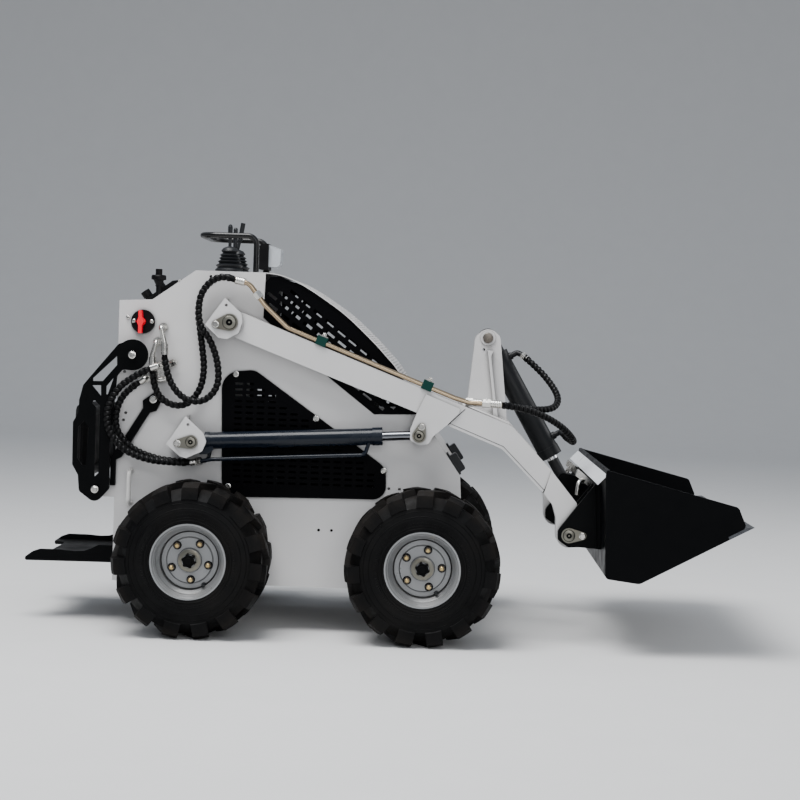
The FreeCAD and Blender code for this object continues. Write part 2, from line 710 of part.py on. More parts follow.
def rear_guard():
    """Cut guard plates behind the body, the tubes that join them and the struts to the body."""
    outer = GUARD_INNER_Y + GUARD_PLATE
    side = plate(GUARD_OUTLINE, GUARD_INNER_Y, outer, GUARD_RADII)
    for outline in GUARD_WINDOWS:
        side = side.cut(plate(outline, GUARD_INNER_Y - 5, outer + 5))
    bolts = []
    for x, z in GUARD_BOLTS:
        bolts.append(rod_y(x, z, 20, SIDE_OUTER_Y, GUARD_INNER_Y))
        bolts.append(rod_y(x, z, GUARD_BOLT_RADIUS, outer - 2, outer + 9))
    tubes = []
    for x, z in GUARD_TUBES:
        tubes.append(rod_y(x, z, GUARD_TUBE_RADIUS, -GUARD_INNER_Y - 2, GUARD_INNER_Y + 2))
    guard = fuse([side, mirrored(side)] + bolts + [mirrored(b) for b in bolts] + tubes)
    strut_face = SIDE_OUTER_Y + STRUT_THICKNESS
    strut = fuse([plate(STRUT_OUTLINE, SIDE_OUTER_Y, strut_face),
                  rod_y(STRUT_BOLT[0], STRUT_BOLT[1], GUARD_BOLT_RADIUS, strut_face, strut_face + 6)])
    return Part.makeCompound([guard, strut, mirrored(strut)])


def thigh_pad():
    """Padded rest across the guard tubes."""
    return plate([(-359.3, 450), (-359.3, 680), (-399, 680), (-399, 450)], -PAD_HALF_WIDTH,
                 PAD_HALF_WIDTH, 12)


def step_platform():
    """Platform for the driver behind the body, its rear edge cut back in the middle."""
    half, t, z = PLATFORM_HALF_WIDTH, PLATFORM_PLATE, PLATFORM_Z
    inner = half - t
    tip = PLATFORM_TIP_X
    corners = [(BODY_REAR_X, -inner), (BODY_REAR_X, inner), (tip + 12, inner), (tip + 12, 150),
               (tip + 55, 118), (tip + 55, -118), (tip + 12, -150), (tip + 12, -inner)]
    points = [V(x, y, z) for x, y in corners]
    wire = Part.Wire(corner_edges(points, [0, 0, 10, 18, 30, 30, 18, 10], True))
    deck = Part.Face(wire).extrude(V(0, 0, t))
    cheek = plate([(BODY_REAR_X, 182), (tip, 180), (tip, 191), (-522, 208), (-500, 216), (-437, 216),
                   (-391, 213), (-363, 215), (-340, 223), (-318, 235), (BODY_REAR_X, 235)], inner, half,
                  [0, 5, 5, 20, 20, 0, 60, 40, 0, 20, 0])
    return fuse([deck, cheek, mirrored(cheek)])


# Lift arms

ARM_TUBE_TOP_Z = 963.0
ARM_OUTLINE = [(62, 965), (118, 963), (937, 651), (1060, 522), (1039, 453), (910, 582),
               (744, 647), (107, 886), (58, 908)]
FOOT_OUTLINE = [(1060, 522), (1138, 428), (1155, 332), (1079, 332), (1078, 382),
                (1066, 420), (1039, 453)]
CHEEK_OUTLINE = [(678, 738), (653, 684), (634, 633), (634, 600), (661, 584), (690, 590),
                 (703, 613), (742, 647), (778, 684), (780, 698)]


def arm(side):
    """One lift arm from its pivot boss over the knee to the foot."""
    inner, outer = ARM_INNER_Y, ARM_OUTER_Y
    tube = plate(ARM_OUTLINE, inner + ARM_TUBE_INSET, outer - ARM_TUBE_INSET,
                 [20, 0, 40, 0, 0, 40, 0, 0, 20])
    boss = rod_y(ARM_PIVOT_X, ARM_PIVOT_Z, ARM_BOSS_RADIUS, inner, outer)
    foot = plate(FOOT_OUTLINE, inner, outer, [0, 10, 0, 0, 20, 20, 0])
    lobe = rod_y(COUPLER_PIVOT_X, COUPLER_PIVOT_Z, FOOT_LOBE_RADIUS, inner, outer)
    pieces = [tube, boss, foot, lobe]
    for y in (inner, outer - ARM_TUBE_INSET):
        pieces.append(plate(CHEEK_OUTLINE, y, y + ARM_TUBE_INSET, [0, 8, 8, 12, 24, 8, 20, 20, 0, 0]))
    solid = fuse(pieces)
    for x, z, radius in ((ARM_PIVOT_X, ARM_PIVOT_Z, ARM_PIN_RADIUS),
                         (COUPLER_PIVOT_X, COUPLER_PIVOT_Z, COUPLER_PIN_RADIUS)):
        solid = solid.cut(rod_y(x, z, radius + PIN_CLEARANCE, inner - 5, outer + 5))
    return solid if side > 0 else mirrored(solid)


def arm_pins():
    """Heads and keepers of the lift cylinder rod pins on the arm cheeks."""
    stub = rod_y(LIFT_ROD_X, LIFT_ROD_Z, LIFT_PIN_RADIUS, ARM_OUTER_Y, ARM_OUTER_Y + 8)
    flag = keeper((LIFT_ROD_X, LIFT_ROD_Z), LIFT_PIN_RADIUS, (LIFT_ROD_X + 7, LIFT_ROD_Z + 27), ARM_OUTER_Y)
    return both_sides(fuse([stub, flag]))


BEAM_TOP = ((789, 707), (935, 652))


def beam_top(x):
    """Height of the cross beam's top face."""
    (x0, z0), (x1, z1) = BEAM_TOP
    return z0 + (z1 - z0) * (x - x0) / (x1 - x0)


def cross_beam():
    """Closed beam between the arms, cut back where it meets the stops."""
    half = ARM_INNER_Y + ARM_TUBE_INSET
    return plate(list(BEAM_TOP) + [(907, 582), (883, 589)], -half, half)


def tilt_tower():
    """Two ribbed plates on the cross beam that hold the tilt cylinder."""
    top = TILT_BASE_Z
    outline = [(806, beam_top(806)), (825, top + 3), (864, top + 40), (903, top + 5),
               (932, beam_top(932))]
    rib = [(863, top - 38), (882, top - 40), (875, top - 58), (893, 722), (903, beam_top(903)),
           (888, beam_top(888)), (885, 722), (867, top - 58)]
    outer = TOWER_PLATE_INNER_Y + TOWER_PLATE_THICKNESS
    side = plate(outline, TOWER_PLATE_INNER_Y, outer, [0, 24, 34, 24, 0])
    side = side.cut(rod_y(852, top - 37, ACCESSORY_HOLE_RADIUS, 0, outer + 5))
    ribs = plate(rib, outer, outer + TOWER_RIB_HEIGHT)
    boss = rod_y(TILT_BASE_X, top, TOWER_BOSS_RADIUS, outer, outer + 6)
    half = fuse([side, ribs, boss])
    axle = rod_y(TILT_BASE_X, top, TILT_PIN_RADIUS, -outer - 10, outer + 10)
    return fuse([half, mirrored(half), axle])


PIPE_ROUTE = [(97, 1060), (136, 1052), (186, 988), (258, 922), (349, 887), (676, 762),
              (764, 729), (806, 717)]


PIPE_ENDS = (
    # pipe y, last point of the pipe, then where its hose nut ends
    (PIPE_OUTER_Y, (856, 716), (905, 714)),
    (PIPE_INNER_Y, (806, 717), (846.5, 716)),
)


def arm_pipes():
    """Steel pipes along the right arm with the nuts of their hoses."""
    pieces = []
    for y, last, nut_end in PIPE_ENDS:
        path = [(x, y, z) for x, z in PIPE_ROUTE]
        if last[0] > PIPE_ROUTE[-1][0]:
            path.append((last[0], y, last[1]))
        tube = pipe_bend(path, PIPE_DIAMETER / 2, 40)
        nuts = [rod((last[0] - 10, y, last[1]), (nut_end[0], y, nut_end[1]), FERRULE_RADIUS),
                rod((97, y, 1060), (124, y, 1054.6), FERRULE_RADIUS),
                rod((157, y, 1025.5), (171, y, 1007.5), FERRULE_RADIUS)]
        pieces.append(fuse([tube] + nuts))
    return Part.makeCompound(pieces)


def pipe_clamps():
    """Clamps that hold the pipes on the right arm."""
    slope = math.radians(20.86)
    pieces = []
    for x in (355, 676):
        z = ARM_TUBE_TOP_Z - (x - 118) * math.tan(slope) + 0.5
        along = V(math.cos(slope), 0, -math.sin(slope))
        up = V(math.sin(slope), 0, math.cos(slope))
        corners = []
        for a, b in ((-16, 0), (16, 0), (16, 28), (-16, 28)):
            spot = V(x, 0, z) + along * a + up * b
            corners.append((spot.x, spot.z))
        pieces.append(plate(corners, PIPE_OUTER_Y - 10, PIPE_INNER_Y + 10))
    solid = Part.makeCompound(pieces)
    for y in (PIPE_OUTER_Y, PIPE_INNER_Y):
        run = [(x, y, z) for x, z in PIPE_ROUTE[3:7]]
        solid = solid.cut(pipe_bend(run, PIPE_DIAMETER / 2 + 0.2, 40))
    return solid


# Cylinders

def axis_point(base, tip, along):
    """Point at a distance along the line from base to tip, both x, z."""
    length = math.hypot(tip[0] - base[0], tip[1] - base[1])
    return (base[0] + (tip[0] - base[0]) * along / length,
            base[1] + (tip[1] - base[1]) * along / length)


def cylinder_barrel(base, tip, y, sizes):
    """Barrel with its base eye; sizes names radius, start, end, eye, pin and eye half width."""
    a = axis_point(base, tip, sizes["start"])
    b = axis_point(base, tip, sizes["end"])
    g = axis_point(base, tip, sizes["end"] - 30)
    tube = rod((a[0], y, a[1]), (b[0], y, b[1]), sizes["radius"] - 2)
    gland = rod((g[0], y, g[1]), (b[0], y, b[1]), sizes["radius"])
    cap = axis_point(base, tip, sizes["start"] + 14)
    foot = rod((a[0], y, a[1]), (cap[0], y, cap[1]), sizes["radius"])
    eye = rod_y(base[0], base[1], sizes["eye"], y - sizes["half"], y + sizes["half"])
    neck = rod((base[0], y, base[1]), (cap[0], y, cap[1]), sizes["half"] * 0.8)
    solid = fuse([tube, gland, foot, eye, neck])
    return solid.cut(rod_y(base[0], base[1], sizes["pin"] + PIN_CLEARANCE, y - 60, y + 60))


LIFT_BASE = (LIFT_BASE_X, LIFT_BASE_Z)
LIFT_TIP = (LIFT_ROD_X, LIFT_ROD_Z)
TILT_BASE = (TILT_BASE_X, TILT_BASE_Z)
TILT_TIP = (TILT_ROD_X, TILT_ROD_Z)


def rod_bore(base, tip, y, radius, start, end):
    """Space for the rod inside a barrel."""
    a = axis_point(base, tip, start)
    b = axis_point(base, tip, end)
    return rod((a[0], y, a[1]), (b[0], y, b[1]), radius)


def lift_barrel(side):
    """Lift cylinder barrel with its port casting and two feed pipes below."""
    sizes = {"radius": LIFT_BARREL_RADIUS, "start": LIFT_BARREL_START, "end": LIFT_BARREL_END,
             "eye": 25.0, "pin": LIFT_PIN_RADIUS, "half": 24.0}
    body = cylinder_barrel(LIFT_BASE, LIFT_TIP, LIFT_Y, sizes)
    long_y, short_y = LIFT_Y + 13, LIFT_Y - 12
    long_pipe = pipe_bend([(-24, long_y, 508), (40, long_y, 520), (300, long_y, 537),
                           (500, long_y, 549), (512, long_y, 590)], 6, 18)
    short_pipe = pipe_bend([(-24, short_y, 508), (26, short_y, 514), (34, short_y, 560)], 6, 16)
    nuts = [rod((-24, y, 508), (8, y, 513), 9.5) for y in (long_y, short_y)]
    casting = plate([(3, 560), (3, 534), (26, 536), (44, 549), (44, 560)], LIFT_Y - 21, LIFT_Y + 21, 3)
    solid = fuse([body, casting, long_pipe, short_pipe] + nuts)
    solid = solid.cut(rod_bore(LIFT_BASE, LIFT_TIP, LIFT_Y, LIFT_ROD_RADIUS + PIN_CLEARANCE,
                               LIFT_BARREL_START + 25, LIFT_BARREL_END + 5))
    return solid if side > 0 else mirrored(solid)


def lift_rod(side):
    """Lift cylinder rod with its eye."""
    a = axis_point(LIFT_BASE, LIFT_TIP, LIFT_BARREL_START + 72)
    bar = rod((a[0], LIFT_Y, a[1]), (LIFT_ROD_X, LIFT_Y, LIFT_ROD_Z), LIFT_ROD_RADIUS)
    half = (ARM_OUTER_Y - ARM_INNER_Y) / 2 - ARM_TUBE_INSET - EYE_SIDE_GAP
    middle = (ARM_OUTER_Y + ARM_INNER_Y) / 2
    eye = rod_y(LIFT_ROD_X, LIFT_ROD_Z, LIFT_EYE_RADIUS, middle - half, middle + half)
    solid = fuse([bar, eye])
    return solid if side > 0 else mirrored(solid)


def tilt_port(along, reach, end):
    """Port boss square to the tilt barrel, then a bent elbow to the hose."""
    root = axis_point(TILT_BASE, TILT_TIP, along)
    length = math.hypot(TILT_ROD_X - TILT_BASE_X, TILT_ROD_Z - TILT_BASE_Z)
    out_x = (TILT_BASE_Z - TILT_ROD_Z) / length
    out_z = (TILT_ROD_X - TILT_BASE_X) / length
    spots = [(root[0] + out_x * out, 0, root[1] + out_z * out) for out in (25, reach - 18, reach)]
    boss = rod(spots[0], spots[1], 12)
    elbow = pipe_bend([spots[0], spots[2], end], 9, 10)
    return fuse([boss, elbow])


def tilt_barrel():
    """Tilt cylinder barrel with its ports."""
    sizes = {"radius": TILT_BARREL_RADIUS, "start": TILT_BARREL_START, "end": TILT_BARREL_END,
             "eye": 30.0, "pin": TILT_PIN_RADIUS, "half": 36.0}
    body = cylinder_barrel(TILT_BASE, TILT_TIP, 0.0, sizes)
    solid = fuse([body, tilt_port(85, 60, HOSES["tilt_hose_inner"][0]),
                  tilt_port(372, 62, HOSES["tilt_hose_outer"][0])])
    return solid.cut(rod_bore(TILT_BASE, TILT_TIP, 0.0, TILT_ROD_RADIUS + PIN_CLEARANCE,
                              TILT_BARREL_START + 30, TILT_BARREL_END + 5))


def tilt_rod():
    """Tilt cylinder rod with its eye."""
    a = axis_point(TILT_BASE, TILT_TIP, TILT_BARREL_START + 56)
    bar = rod((a[0], 0, a[1]), (TILT_ROD_X, 0, TILT_ROD_Z), TILT_ROD_RADIUS)
    return fuse([bar, rod_y(TILT_ROD_X, TILT_ROD_Z, TILT_EYE_RADIUS, -19, 19)])


# Coupler and bucket

COUPLER_EAR = [(1144, 428), (1190, 488), (1206, 482), (1211.7, 294), (1149, 298),
               (1117, 296), (1084, 318), (1084, 346), (1092, 358)]


def coupler_frame():
    """Quick coupler plate with its ears, pins, keepers and tilt ears."""
    pieces = []
    first = ARM_INNER_Y - COUPLER_EAR_GAP - COUPLER_EAR_THICKNESS
    second = ARM_OUTER_Y + COUPLER_EAR_GAP
    last = second + COUPLER_EAR_THICKNESS
    radii = [12, 8, 0, 0, 8, 20, 12, 12, 8]
    for y in (first, second):
        ear = plate(COUPLER_EAR, y, y + COUPLER_EAR_THICKNESS, radii)
        pieces += [ear, mirrored(ear)]
    axle = rod_y(COUPLER_PIVOT_X, COUPLER_PIVOT_Z, COUPLER_PIN_RADIUS, first, last + 8)
    flag = keeper((COUPLER_PIVOT_X, COUPLER_PIVOT_Z), COUPLER_PIN_RADIUS,
                  (COUPLER_PIVOT_X + 40, COUPLER_PIVOT_Z), last)
    pieces += [axle, mirrored(axle), flag, mirrored(flag)]
    face = [(COUPLER_BACK_X, 488), (1206, 482), (1211.7, 294), (1200, 294), (COUPLER_BACK_X, 470)]
    pieces.append(plate(face, -last, last))
    tilt_ear = [(1108, 440), (1096, 468), (1108, 496), (1192, 478), (1188, 380)]
    for y in (25, -37):
        pieces.append(plate(tilt_ear, y, y + 12, [20, 20, 20, 0, 0]))
    return fuse(pieces)


def coupler_latches():
    """Latch blocks on the back of the coupler plate, each with a bent handle."""
    high = COUPLER_BACK_X - SEAT_GAP
    wedge = plate([(high, 488), (high, 472), (1177, 472), (1141, 501), (1148, 522)], 196, 228, [0, 0, 4, 4, 4])
    handle = pipe_bend([(1166, 222, 486), (1150, 252, 486), (1146, 252, 444)], 7, 12)
    return both_sides(fuse([wedge, handle]))


BUCKET_SIDE = [(1209, 542), (1205, 528), (1214, 227), (1314, 215), (1568, 353),
               (1563.8, 361.2), (1609, 385.4), (1613, 396), (1591, 447)]
BUCKET_SHEET = [(1209, 542), (1205, 528), (1214, 227), (1314, 215), (1568, 353),
                (1563.8, 361.2), (1311, 224), (1222, 235), (1213, 528), (1217, 542)]
BUCKET_EDGE = [(1568.3, 353.2), (1639, 391), (1618, 389.8), (1564.1, 361)]
BUCKET_LIP = [(1178, 504), (1183, 499), (1204.6, 522), (1204.6, 532)]


def bucket():
    """Open bucket of side plates and one folded sheet."""
    half = BUCKET_HALF_WIDTH
    side = plate(BUCKET_SIDE, half - BUCKET_PLATE, half, [0, 0, 14, 26, 0, 0, 0, 6, 14])
    sheet = plate(BUCKET_SHEET, -half + 2, half - 2, [0, 0, 14, 26, 0, 0, 17, 6, 0, 0])
    return fuse([side, mirrored(side), sheet])


def bucket_edge():
    """Hardened cutting edge in front of the floor."""
    return plate(BUCKET_EDGE, -BUCKET_HALF_WIDTH, BUCKET_HALF_WIDTH)


def bucket_lip():
    """Light steel lip along the top of the bucket back."""
    return plate(BUCKET_LIP, -BUCKET_HALF_WIDTH, BUCKET_HALF_WIDTH)


# Hydraulic fittings and hoses

FITTINGS = (
    # points of the elbow from the side plate to the hose
    ((-123, -290, 912), (-123, -345, 912), (-111, -345, 866), (-110, -345, 830)),
    ((-140, -290, 868), (-140, -320, 868), (-150, -320, 830), (-149, -320, 787.5)),
    ((-128, -290, 796), (-128, -345, 796), (-150.5, -345, 787.7)),
    ((-170, -290, 757), (-170, -320, 757), (-186, -320, 745)),
)
VALVE_OUTLINE = [(-142, 754), (-142, 803), (-120, 803), (-106, 792), (-106, 754)]


def hose_fittings():
    """Bulkhead elbows with crimped ends, and the small valve block beside them."""
    pieces = []
    for points in FITTINGS:
        x, y, z = points[0]
        before, end = V(*points[-2]), V(*points[-1])
        crimp = end + (before - end) * min(0.9, 34 / (before - end).Length)
        elbow = pipe_bend(points, 7.5, 8)
        nut = rod_y(x, z, 13, y, y - 12)
        ferrule = rod(tuple(crimp), tuple(end), FERRULE_RADIUS)
        pieces.append(fuse([elbow, nut, ferrule]))
    block_piece = plate(VALVE_OUTLINE, -SIDE_OUTER_Y, -SIDE_OUTER_Y - 15, 3)
    block_piece = block_piece.cut(rod_y(-130, 768, 5, -SIDE_OUTER_Y - 6, -SIDE_OUTER_Y - 20))
    pieces[2] = fuse([pieces[2], block_piece])
    return Part.makeCompound(pieces)


HOSES = {
    "arm_hose_outer": [(-110, -345, 830), (-108, -345, 737), (-26, -345, 690), (56, -345, 737),
                       (57, -345, 828), (15, -345, 886), (-22, -345, 940), (-20, -345, 1004),
                       (14, -345, 1048), (55, -345, 1066), (96.5, -345, 1060)],
    "arm_hose_inner": [(-149, -320, 787.5), (-146, -320, 729), (-99, -320, 682), (-33, -320, 682),
                       (14, -320, 729), (12, -320, 795), (-14, -320, 857), (-38, -320, 915),
                       (-38, -320, 978), (-12, -320, 1034), (40, -320, 1062), (96.5, -320, 1060)],
    "lift_hose_outer": [(-150.5, -345, 787.7), (-220, -345, 752), (-268, -345, 690),
                        (-274, -345, 615), (-235, -345, 548), (-165, -343, 512),
                        (-95, -341, 500), (-24.5, -341, 508)],
    "lift_hose_inner": [(-186, -320, 745), (-222, -318, 712), (-247, -316, 660),
                        (-246, -316, 600), (-205, -316, 550), (-148, -316, 520),
                        (-85, -316, 505), (-24.5, -316, 508)],
    "tilt_hose_outer": [(1115, -22, 612.5), (1139.5, -73, 592), (1140, -135, 603), (1106, -196, 640),
                        (1056, -248, 672), (1004, -294, 694), (953, -330, 707), (905, -345, 714)],
    "tilt_hose_inner": [(975, -12, 862), (1024, -34, 822), (1066, -68, 776), (1090, -120, 732),
                        (1074, -176, 702), (1022, -224, 697), (962, -264, 703), (906, -304, 711),
                        (846.5, -320, 716)],
}


SEATS = (
    # node trimmed square, and the hose that ends against it
    ("hose_fittings", "arm_hose_outer"), ("hose_fittings", "arm_hose_inner"),
    ("hose_fittings", "lift_hose_outer"), ("hose_fittings", "lift_hose_inner"),
    ("arm_pipes", "arm_hose_outer"), ("arm_pipes", "arm_hose_inner"),
    ("arm_pipes", "tilt_hose_outer"), ("arm_pipes", "tilt_hose_inner"),
    ("tilt_barrel", "tilt_hose_outer"), ("tilt_barrel", "tilt_hose_inner"),
    ("lift_barrel_right", "lift_hose_outer"), ("lift_barrel_right", "lift_hose_inner"),
)


def shifted(shape):
    """Move a finished node so that the length is centred."""
    moved = shape.copy()
    moved.translate(V(-MID_X, 0, 0))
    return moved


def all_nodes():
    """Every node by name."""
    nodes = {
        "lower_tub": lower_tub(), "top_deck": top_deck(), "hood_grille": hood_grille(),
        "hood_sides": hood_sides(), "side_grilles": side_grilles(),
        "engine_block": engine_block(), "pivot_brackets": pivot_brackets(),
        "wheel_motors": wheel_motors(), "handlebar": handlebar(),
        "control_levers": control_levers(), "work_lamp": work_lamp(),
        "lamp_lens": lamp_lens(), "isolator_switch": isolator_switch(),
        "isolator_key": isolator_key(), "console_panel": console_panel(),
        "tie_down_loops": tie_down_loops(), "bump_stops": bump_stops(),
        "rear_guard": rear_guard(), "thigh_pad": thigh_pad(),
        "step_platform": step_platform(), "hose_fittings": hose_fittings(),
        "arm_pins": arm_pins(), "cross_beam": cross_beam(), "tilt_tower": tilt_tower(),
        "arm_pipes": arm_pipes(), "pipe_clamps": pipe_clamps(),
        "tilt_barrel": tilt_barrel(), "tilt_rod": tilt_rod(),
        "coupler_frame": coupler_frame(), "coupler_latches": coupler_latches(),
        "bucket": bucket(), "bucket_edge": bucket_edge(), "bucket_lip": bucket_lip()}
    wheel_tyre, wheel_rim = tyre(), rim()
    ends = (("front", WHEELBASE, wheel_disc(FRONT_BOLT_PHASE)),
            ("rear", 0.0, wheel_disc(REAR_BOLT_PHASE)))
    for word, side in (("left", 1), ("right", -1)):
        nodes["side_plate_" + word] = side_plate(side)
        nodes["arm_" + word] = arm(side)
        nodes["lift_barrel_" + word] = lift_barrel(side)
        nodes["lift_rod_" + word] = lift_rod(side)
        for end, x, disc in ends:
            nodes["tyre_" + end + "_" + word] = at_wheel(wheel_tyre, x, side)
            nodes["rim_" + end + "_" + word] = at_wheel(wheel_rim, x, side)
            nodes["wheel_disc_" + end + "_" + word] = at_wheel(disc, x, side)
    for name, points in HOSES.items():
        nodes[name] = cord(points, HOSE_DIAMETER, name)
    for carrier, hose in SEATS:
        nodes[carrier] = nodes[carrier].cut(nodes[hose])
    return nodes


def save_all():
    """Write one STEP file for each node."""
    os.makedirs("parts", exist_ok=True)
    for name, shape in all_nodes().items():
        shifted(shape).exportStep(os.path.join("parts", name + ".step"))
        box = shape.BoundBox
        print(name, "valid" if shape.isValid() else "INVALID", len(shape.Solids), "solids",
              [round(v) for v in (box.XMin, box.XMax, box.YMin, box.YMax, box.ZMin, box.ZMax)])


if __name__ == "__main__":
    save_all()
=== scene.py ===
import bisect
import math
import random

import bmesh
import bpy
from mathutils import Matrix, Vector


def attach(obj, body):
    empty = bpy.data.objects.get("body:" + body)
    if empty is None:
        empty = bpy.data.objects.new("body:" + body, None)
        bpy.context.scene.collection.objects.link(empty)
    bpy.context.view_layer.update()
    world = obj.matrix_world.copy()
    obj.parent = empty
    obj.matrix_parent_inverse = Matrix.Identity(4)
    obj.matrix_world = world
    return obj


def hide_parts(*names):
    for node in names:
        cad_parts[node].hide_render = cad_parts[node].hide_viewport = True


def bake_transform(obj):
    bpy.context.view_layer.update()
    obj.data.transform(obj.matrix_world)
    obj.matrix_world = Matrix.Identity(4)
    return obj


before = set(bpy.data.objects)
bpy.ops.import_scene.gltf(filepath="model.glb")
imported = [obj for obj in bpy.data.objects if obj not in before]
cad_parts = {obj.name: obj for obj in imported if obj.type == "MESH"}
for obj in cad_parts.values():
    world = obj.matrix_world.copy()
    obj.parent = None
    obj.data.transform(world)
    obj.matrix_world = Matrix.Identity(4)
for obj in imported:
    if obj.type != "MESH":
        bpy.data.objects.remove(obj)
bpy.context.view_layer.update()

random.seed(7)

# The part's own layout: the tables below are in millimetres, with x from the rear axle and z
# from the ground, as in the part's source. In metres x runs from the middle of the length.
AXLE_X = -0.547
AXLES = {"front": 685, "rear": 0}
HUB_HEIGHT = 230


def at(x, y, z):
    """A place given as in the part's source, in millimetres from the rear axle."""
    return Vector((x / 1000 + AXLE_X, y / 1000, z / 1000))


def new_object(name, data):
    """New object, put in the scene."""
    thing = bpy.data.objects.new(name, data)
    bpy.context.scene.collection.objects.link(thing)
    return thing


# Camera

SENSOR_WIDTH = 36.0
FOCAL_PIXELS = 1785.0
PICTURE_PIXELS = 800.0
MIDDLE_PIXEL = PICTURE_PIXELS / 2
SIDEWAYS_VANISHING_POINT = (443.0, 338.0)
CAMERA_ROLL = math.radians(1.9)
CAMERA_PLACE = at(722.3, -5680.0, 907.4)


def camera():
    """Camera at the photograph's place, aimed by the vanishing point of the axles."""
    across = Vector(((SIDEWAYS_VANISHING_POINT[0] - MIDDLE_PIXEL) / FOCAL_PIXELS, 1.0,
                     (MIDDLE_PIXEL - SIDEWAYS_VANISHING_POINT[1]) / FOCAL_PIXELS)).normalized()
    along = Vector((math.cos(CAMERA_ROLL), 0.0, -math.sin(CAMERA_ROLL)))
    along = (along - along.dot(across) * across).normalized()
    up = along.cross(across)
    right = Vector((along.x, across.x, up.x))
    forward = Vector((along.y, across.y, up.y))
    above = Vector((along.z, across.z, up.z))
    data = bpy.data.cameras.new("camera")
    data.sensor_width = SENSOR_WIDTH
    data.lens = SENSOR_WIDTH * FOCAL_PIXELS / PICTURE_PIXELS
    data.clip_end = 60.0
    thing = new_object("camera", data)
    turn = Matrix((right, above, -forward)).transposed()
    thing.matrix_world = Matrix.Translation(CAMERA_PLACE) @ turn.to_4x4()
    bpy.context.scene.camera = thing


camera()


# Materials

def new_material(name):
    """Empty node material with its shader."""
    mat = bpy.data.materials.new(name)
    mat.use_nodes = True
    tree = mat.node_tree
    return mat, tree, tree.nodes["Principled BSDF"]


def set_inputs(node, **values):
    """Set a node's inputs by name, with _ for each space."""
    for name, value in values.items():
        node.inputs[name.replace("_", " ")].default_value = value


def own_place(tree):
    """Socket with a point's place in its object's own coordinates."""
    return tree.nodes.new("ShaderNodeTexCoord").outputs["Object"]


def axes_of(tree, vector):
    """Sockets with the X, Y and Z of a vector."""
    split = tree.nodes.new("ShaderNodeSeparateXYZ")
    tree.links.new(vector, split.inputs["Vector"])
    return split.outputs


def noise(tree, scale, detail=4.0, rough=0.55):
    """Noise over the object's own coordinates."""
    made = tree.nodes.new("ShaderNodeTexNoise")
    set_inputs(made, Scale=scale, Detail=detail, Roughness=rough)
    tree.links.new(own_place(tree), made.inputs["Vector"])
    return made.outputs["Fac"]


def mix_colour(tree, factor, first, second):
    """Mix of two colours by a socket, each a socket or a plain colour."""
    made = tree.nodes.new("ShaderNodeMix")
    made.data_type = "RGBA"
    for name, value in (("Factor_Float", factor), ("A_Color", first), ("B_Color", second)):
        socket = next(s for s in made.inputs if s.identifier == name)
        if isinstance(value, bpy.types.NodeSocket):
            tree.links.new(value, socket)
        else:
            socket.default_value = (*value, 1.0)
    return next(s for s in made.outputs if s.identifier == "Result_Color")


def combine(tree, operation, first, second=0.0):
    """Math node on one or two values, each a socket or a number."""
    made = tree.nodes.new("ShaderNodeMath")
    made.operation = operation
    for socket, value in zip(made.inputs, (first, second)):
        if isinstance(value, bpy.types.NodeSocket):
            tree.links.new(value, socket)
        else:
            socket.default_value = value
    return made.outputs["Value"]


def spread(tree, value, low, high, start=0.0, stop=1.0):
    """Value from start..stop spread over low..high and held at the ends."""
    made = tree.nodes.new("ShaderNodeMapRange")
    made.interpolation_type = "SMOOTHSTEP"
    set_inputs(made, From_Min=start, From_Max=stop, To_Min=low, To_Max=high)
    tree.links.new(value, made.inputs["Value"])
    return made.outputs["Result"]


def band(tree, value, low, high, soft):
    """1 between two limits and 0 outside them, with soft edges."""
    rise = spread(tree, value, 0.0, 1.0, low - soft, low + soft)
    fall = spread(tree, value, 1.0, 0.0, high - soft, high + soft)
    return combine(tree, "MULTIPLY", rise, fall)


def add_bump(tree, shader, height, strength, distance):
    """Bump from a height socket, over any bump the shader already has."""
    made = tree.nodes.new("ShaderNodeBump")
    set_inputs(made, Strength=strength, Distance=distance)
    tree.links.new(height, made.inputs["Height"])
    if shader.inputs["Normal"].links:
        tree.links.new(shader.inputs["Normal"].links[0].from_socket, made.inputs["Normal"])
    tree.links.new(made.outputs["Normal"], shader.inputs["Normal"])


def upward(tree):
    """How far a surface faces up, 0 to 1."""
    made = tree.nodes.new("ShaderNodeNewGeometry")
    return combine(tree, "MAXIMUM", axes_of(tree, made.outputs["Normal"])["Z"], 0.0)


# Painted shade: an ambient occlusion node darkens the base colour where faces meet or lie close together; how
# far it looks in metres, its samples and the dark colour it mixes in.
CREVICE_REACH = 0.022
CREVICE_SAMPLES = 6
CREVICE_SHADE_COLOUR = (0.05, 0.047, 0.045)


def crevice_shade(tree, base, amount):
    """Base colour with painted shade where faces meet or lie close together."""
    made = tree.nodes.new("ShaderNodeAmbientOcclusion")
    made.samples = CREVICE_SAMPLES
    set_inputs(made, Distance=CREVICE_REACH)
    return mix_colour(tree, spread(tree, made.outputs["AO"], amount, 0.0, 0.30, 0.92), base, CREVICE_SHADE_COLOUR)


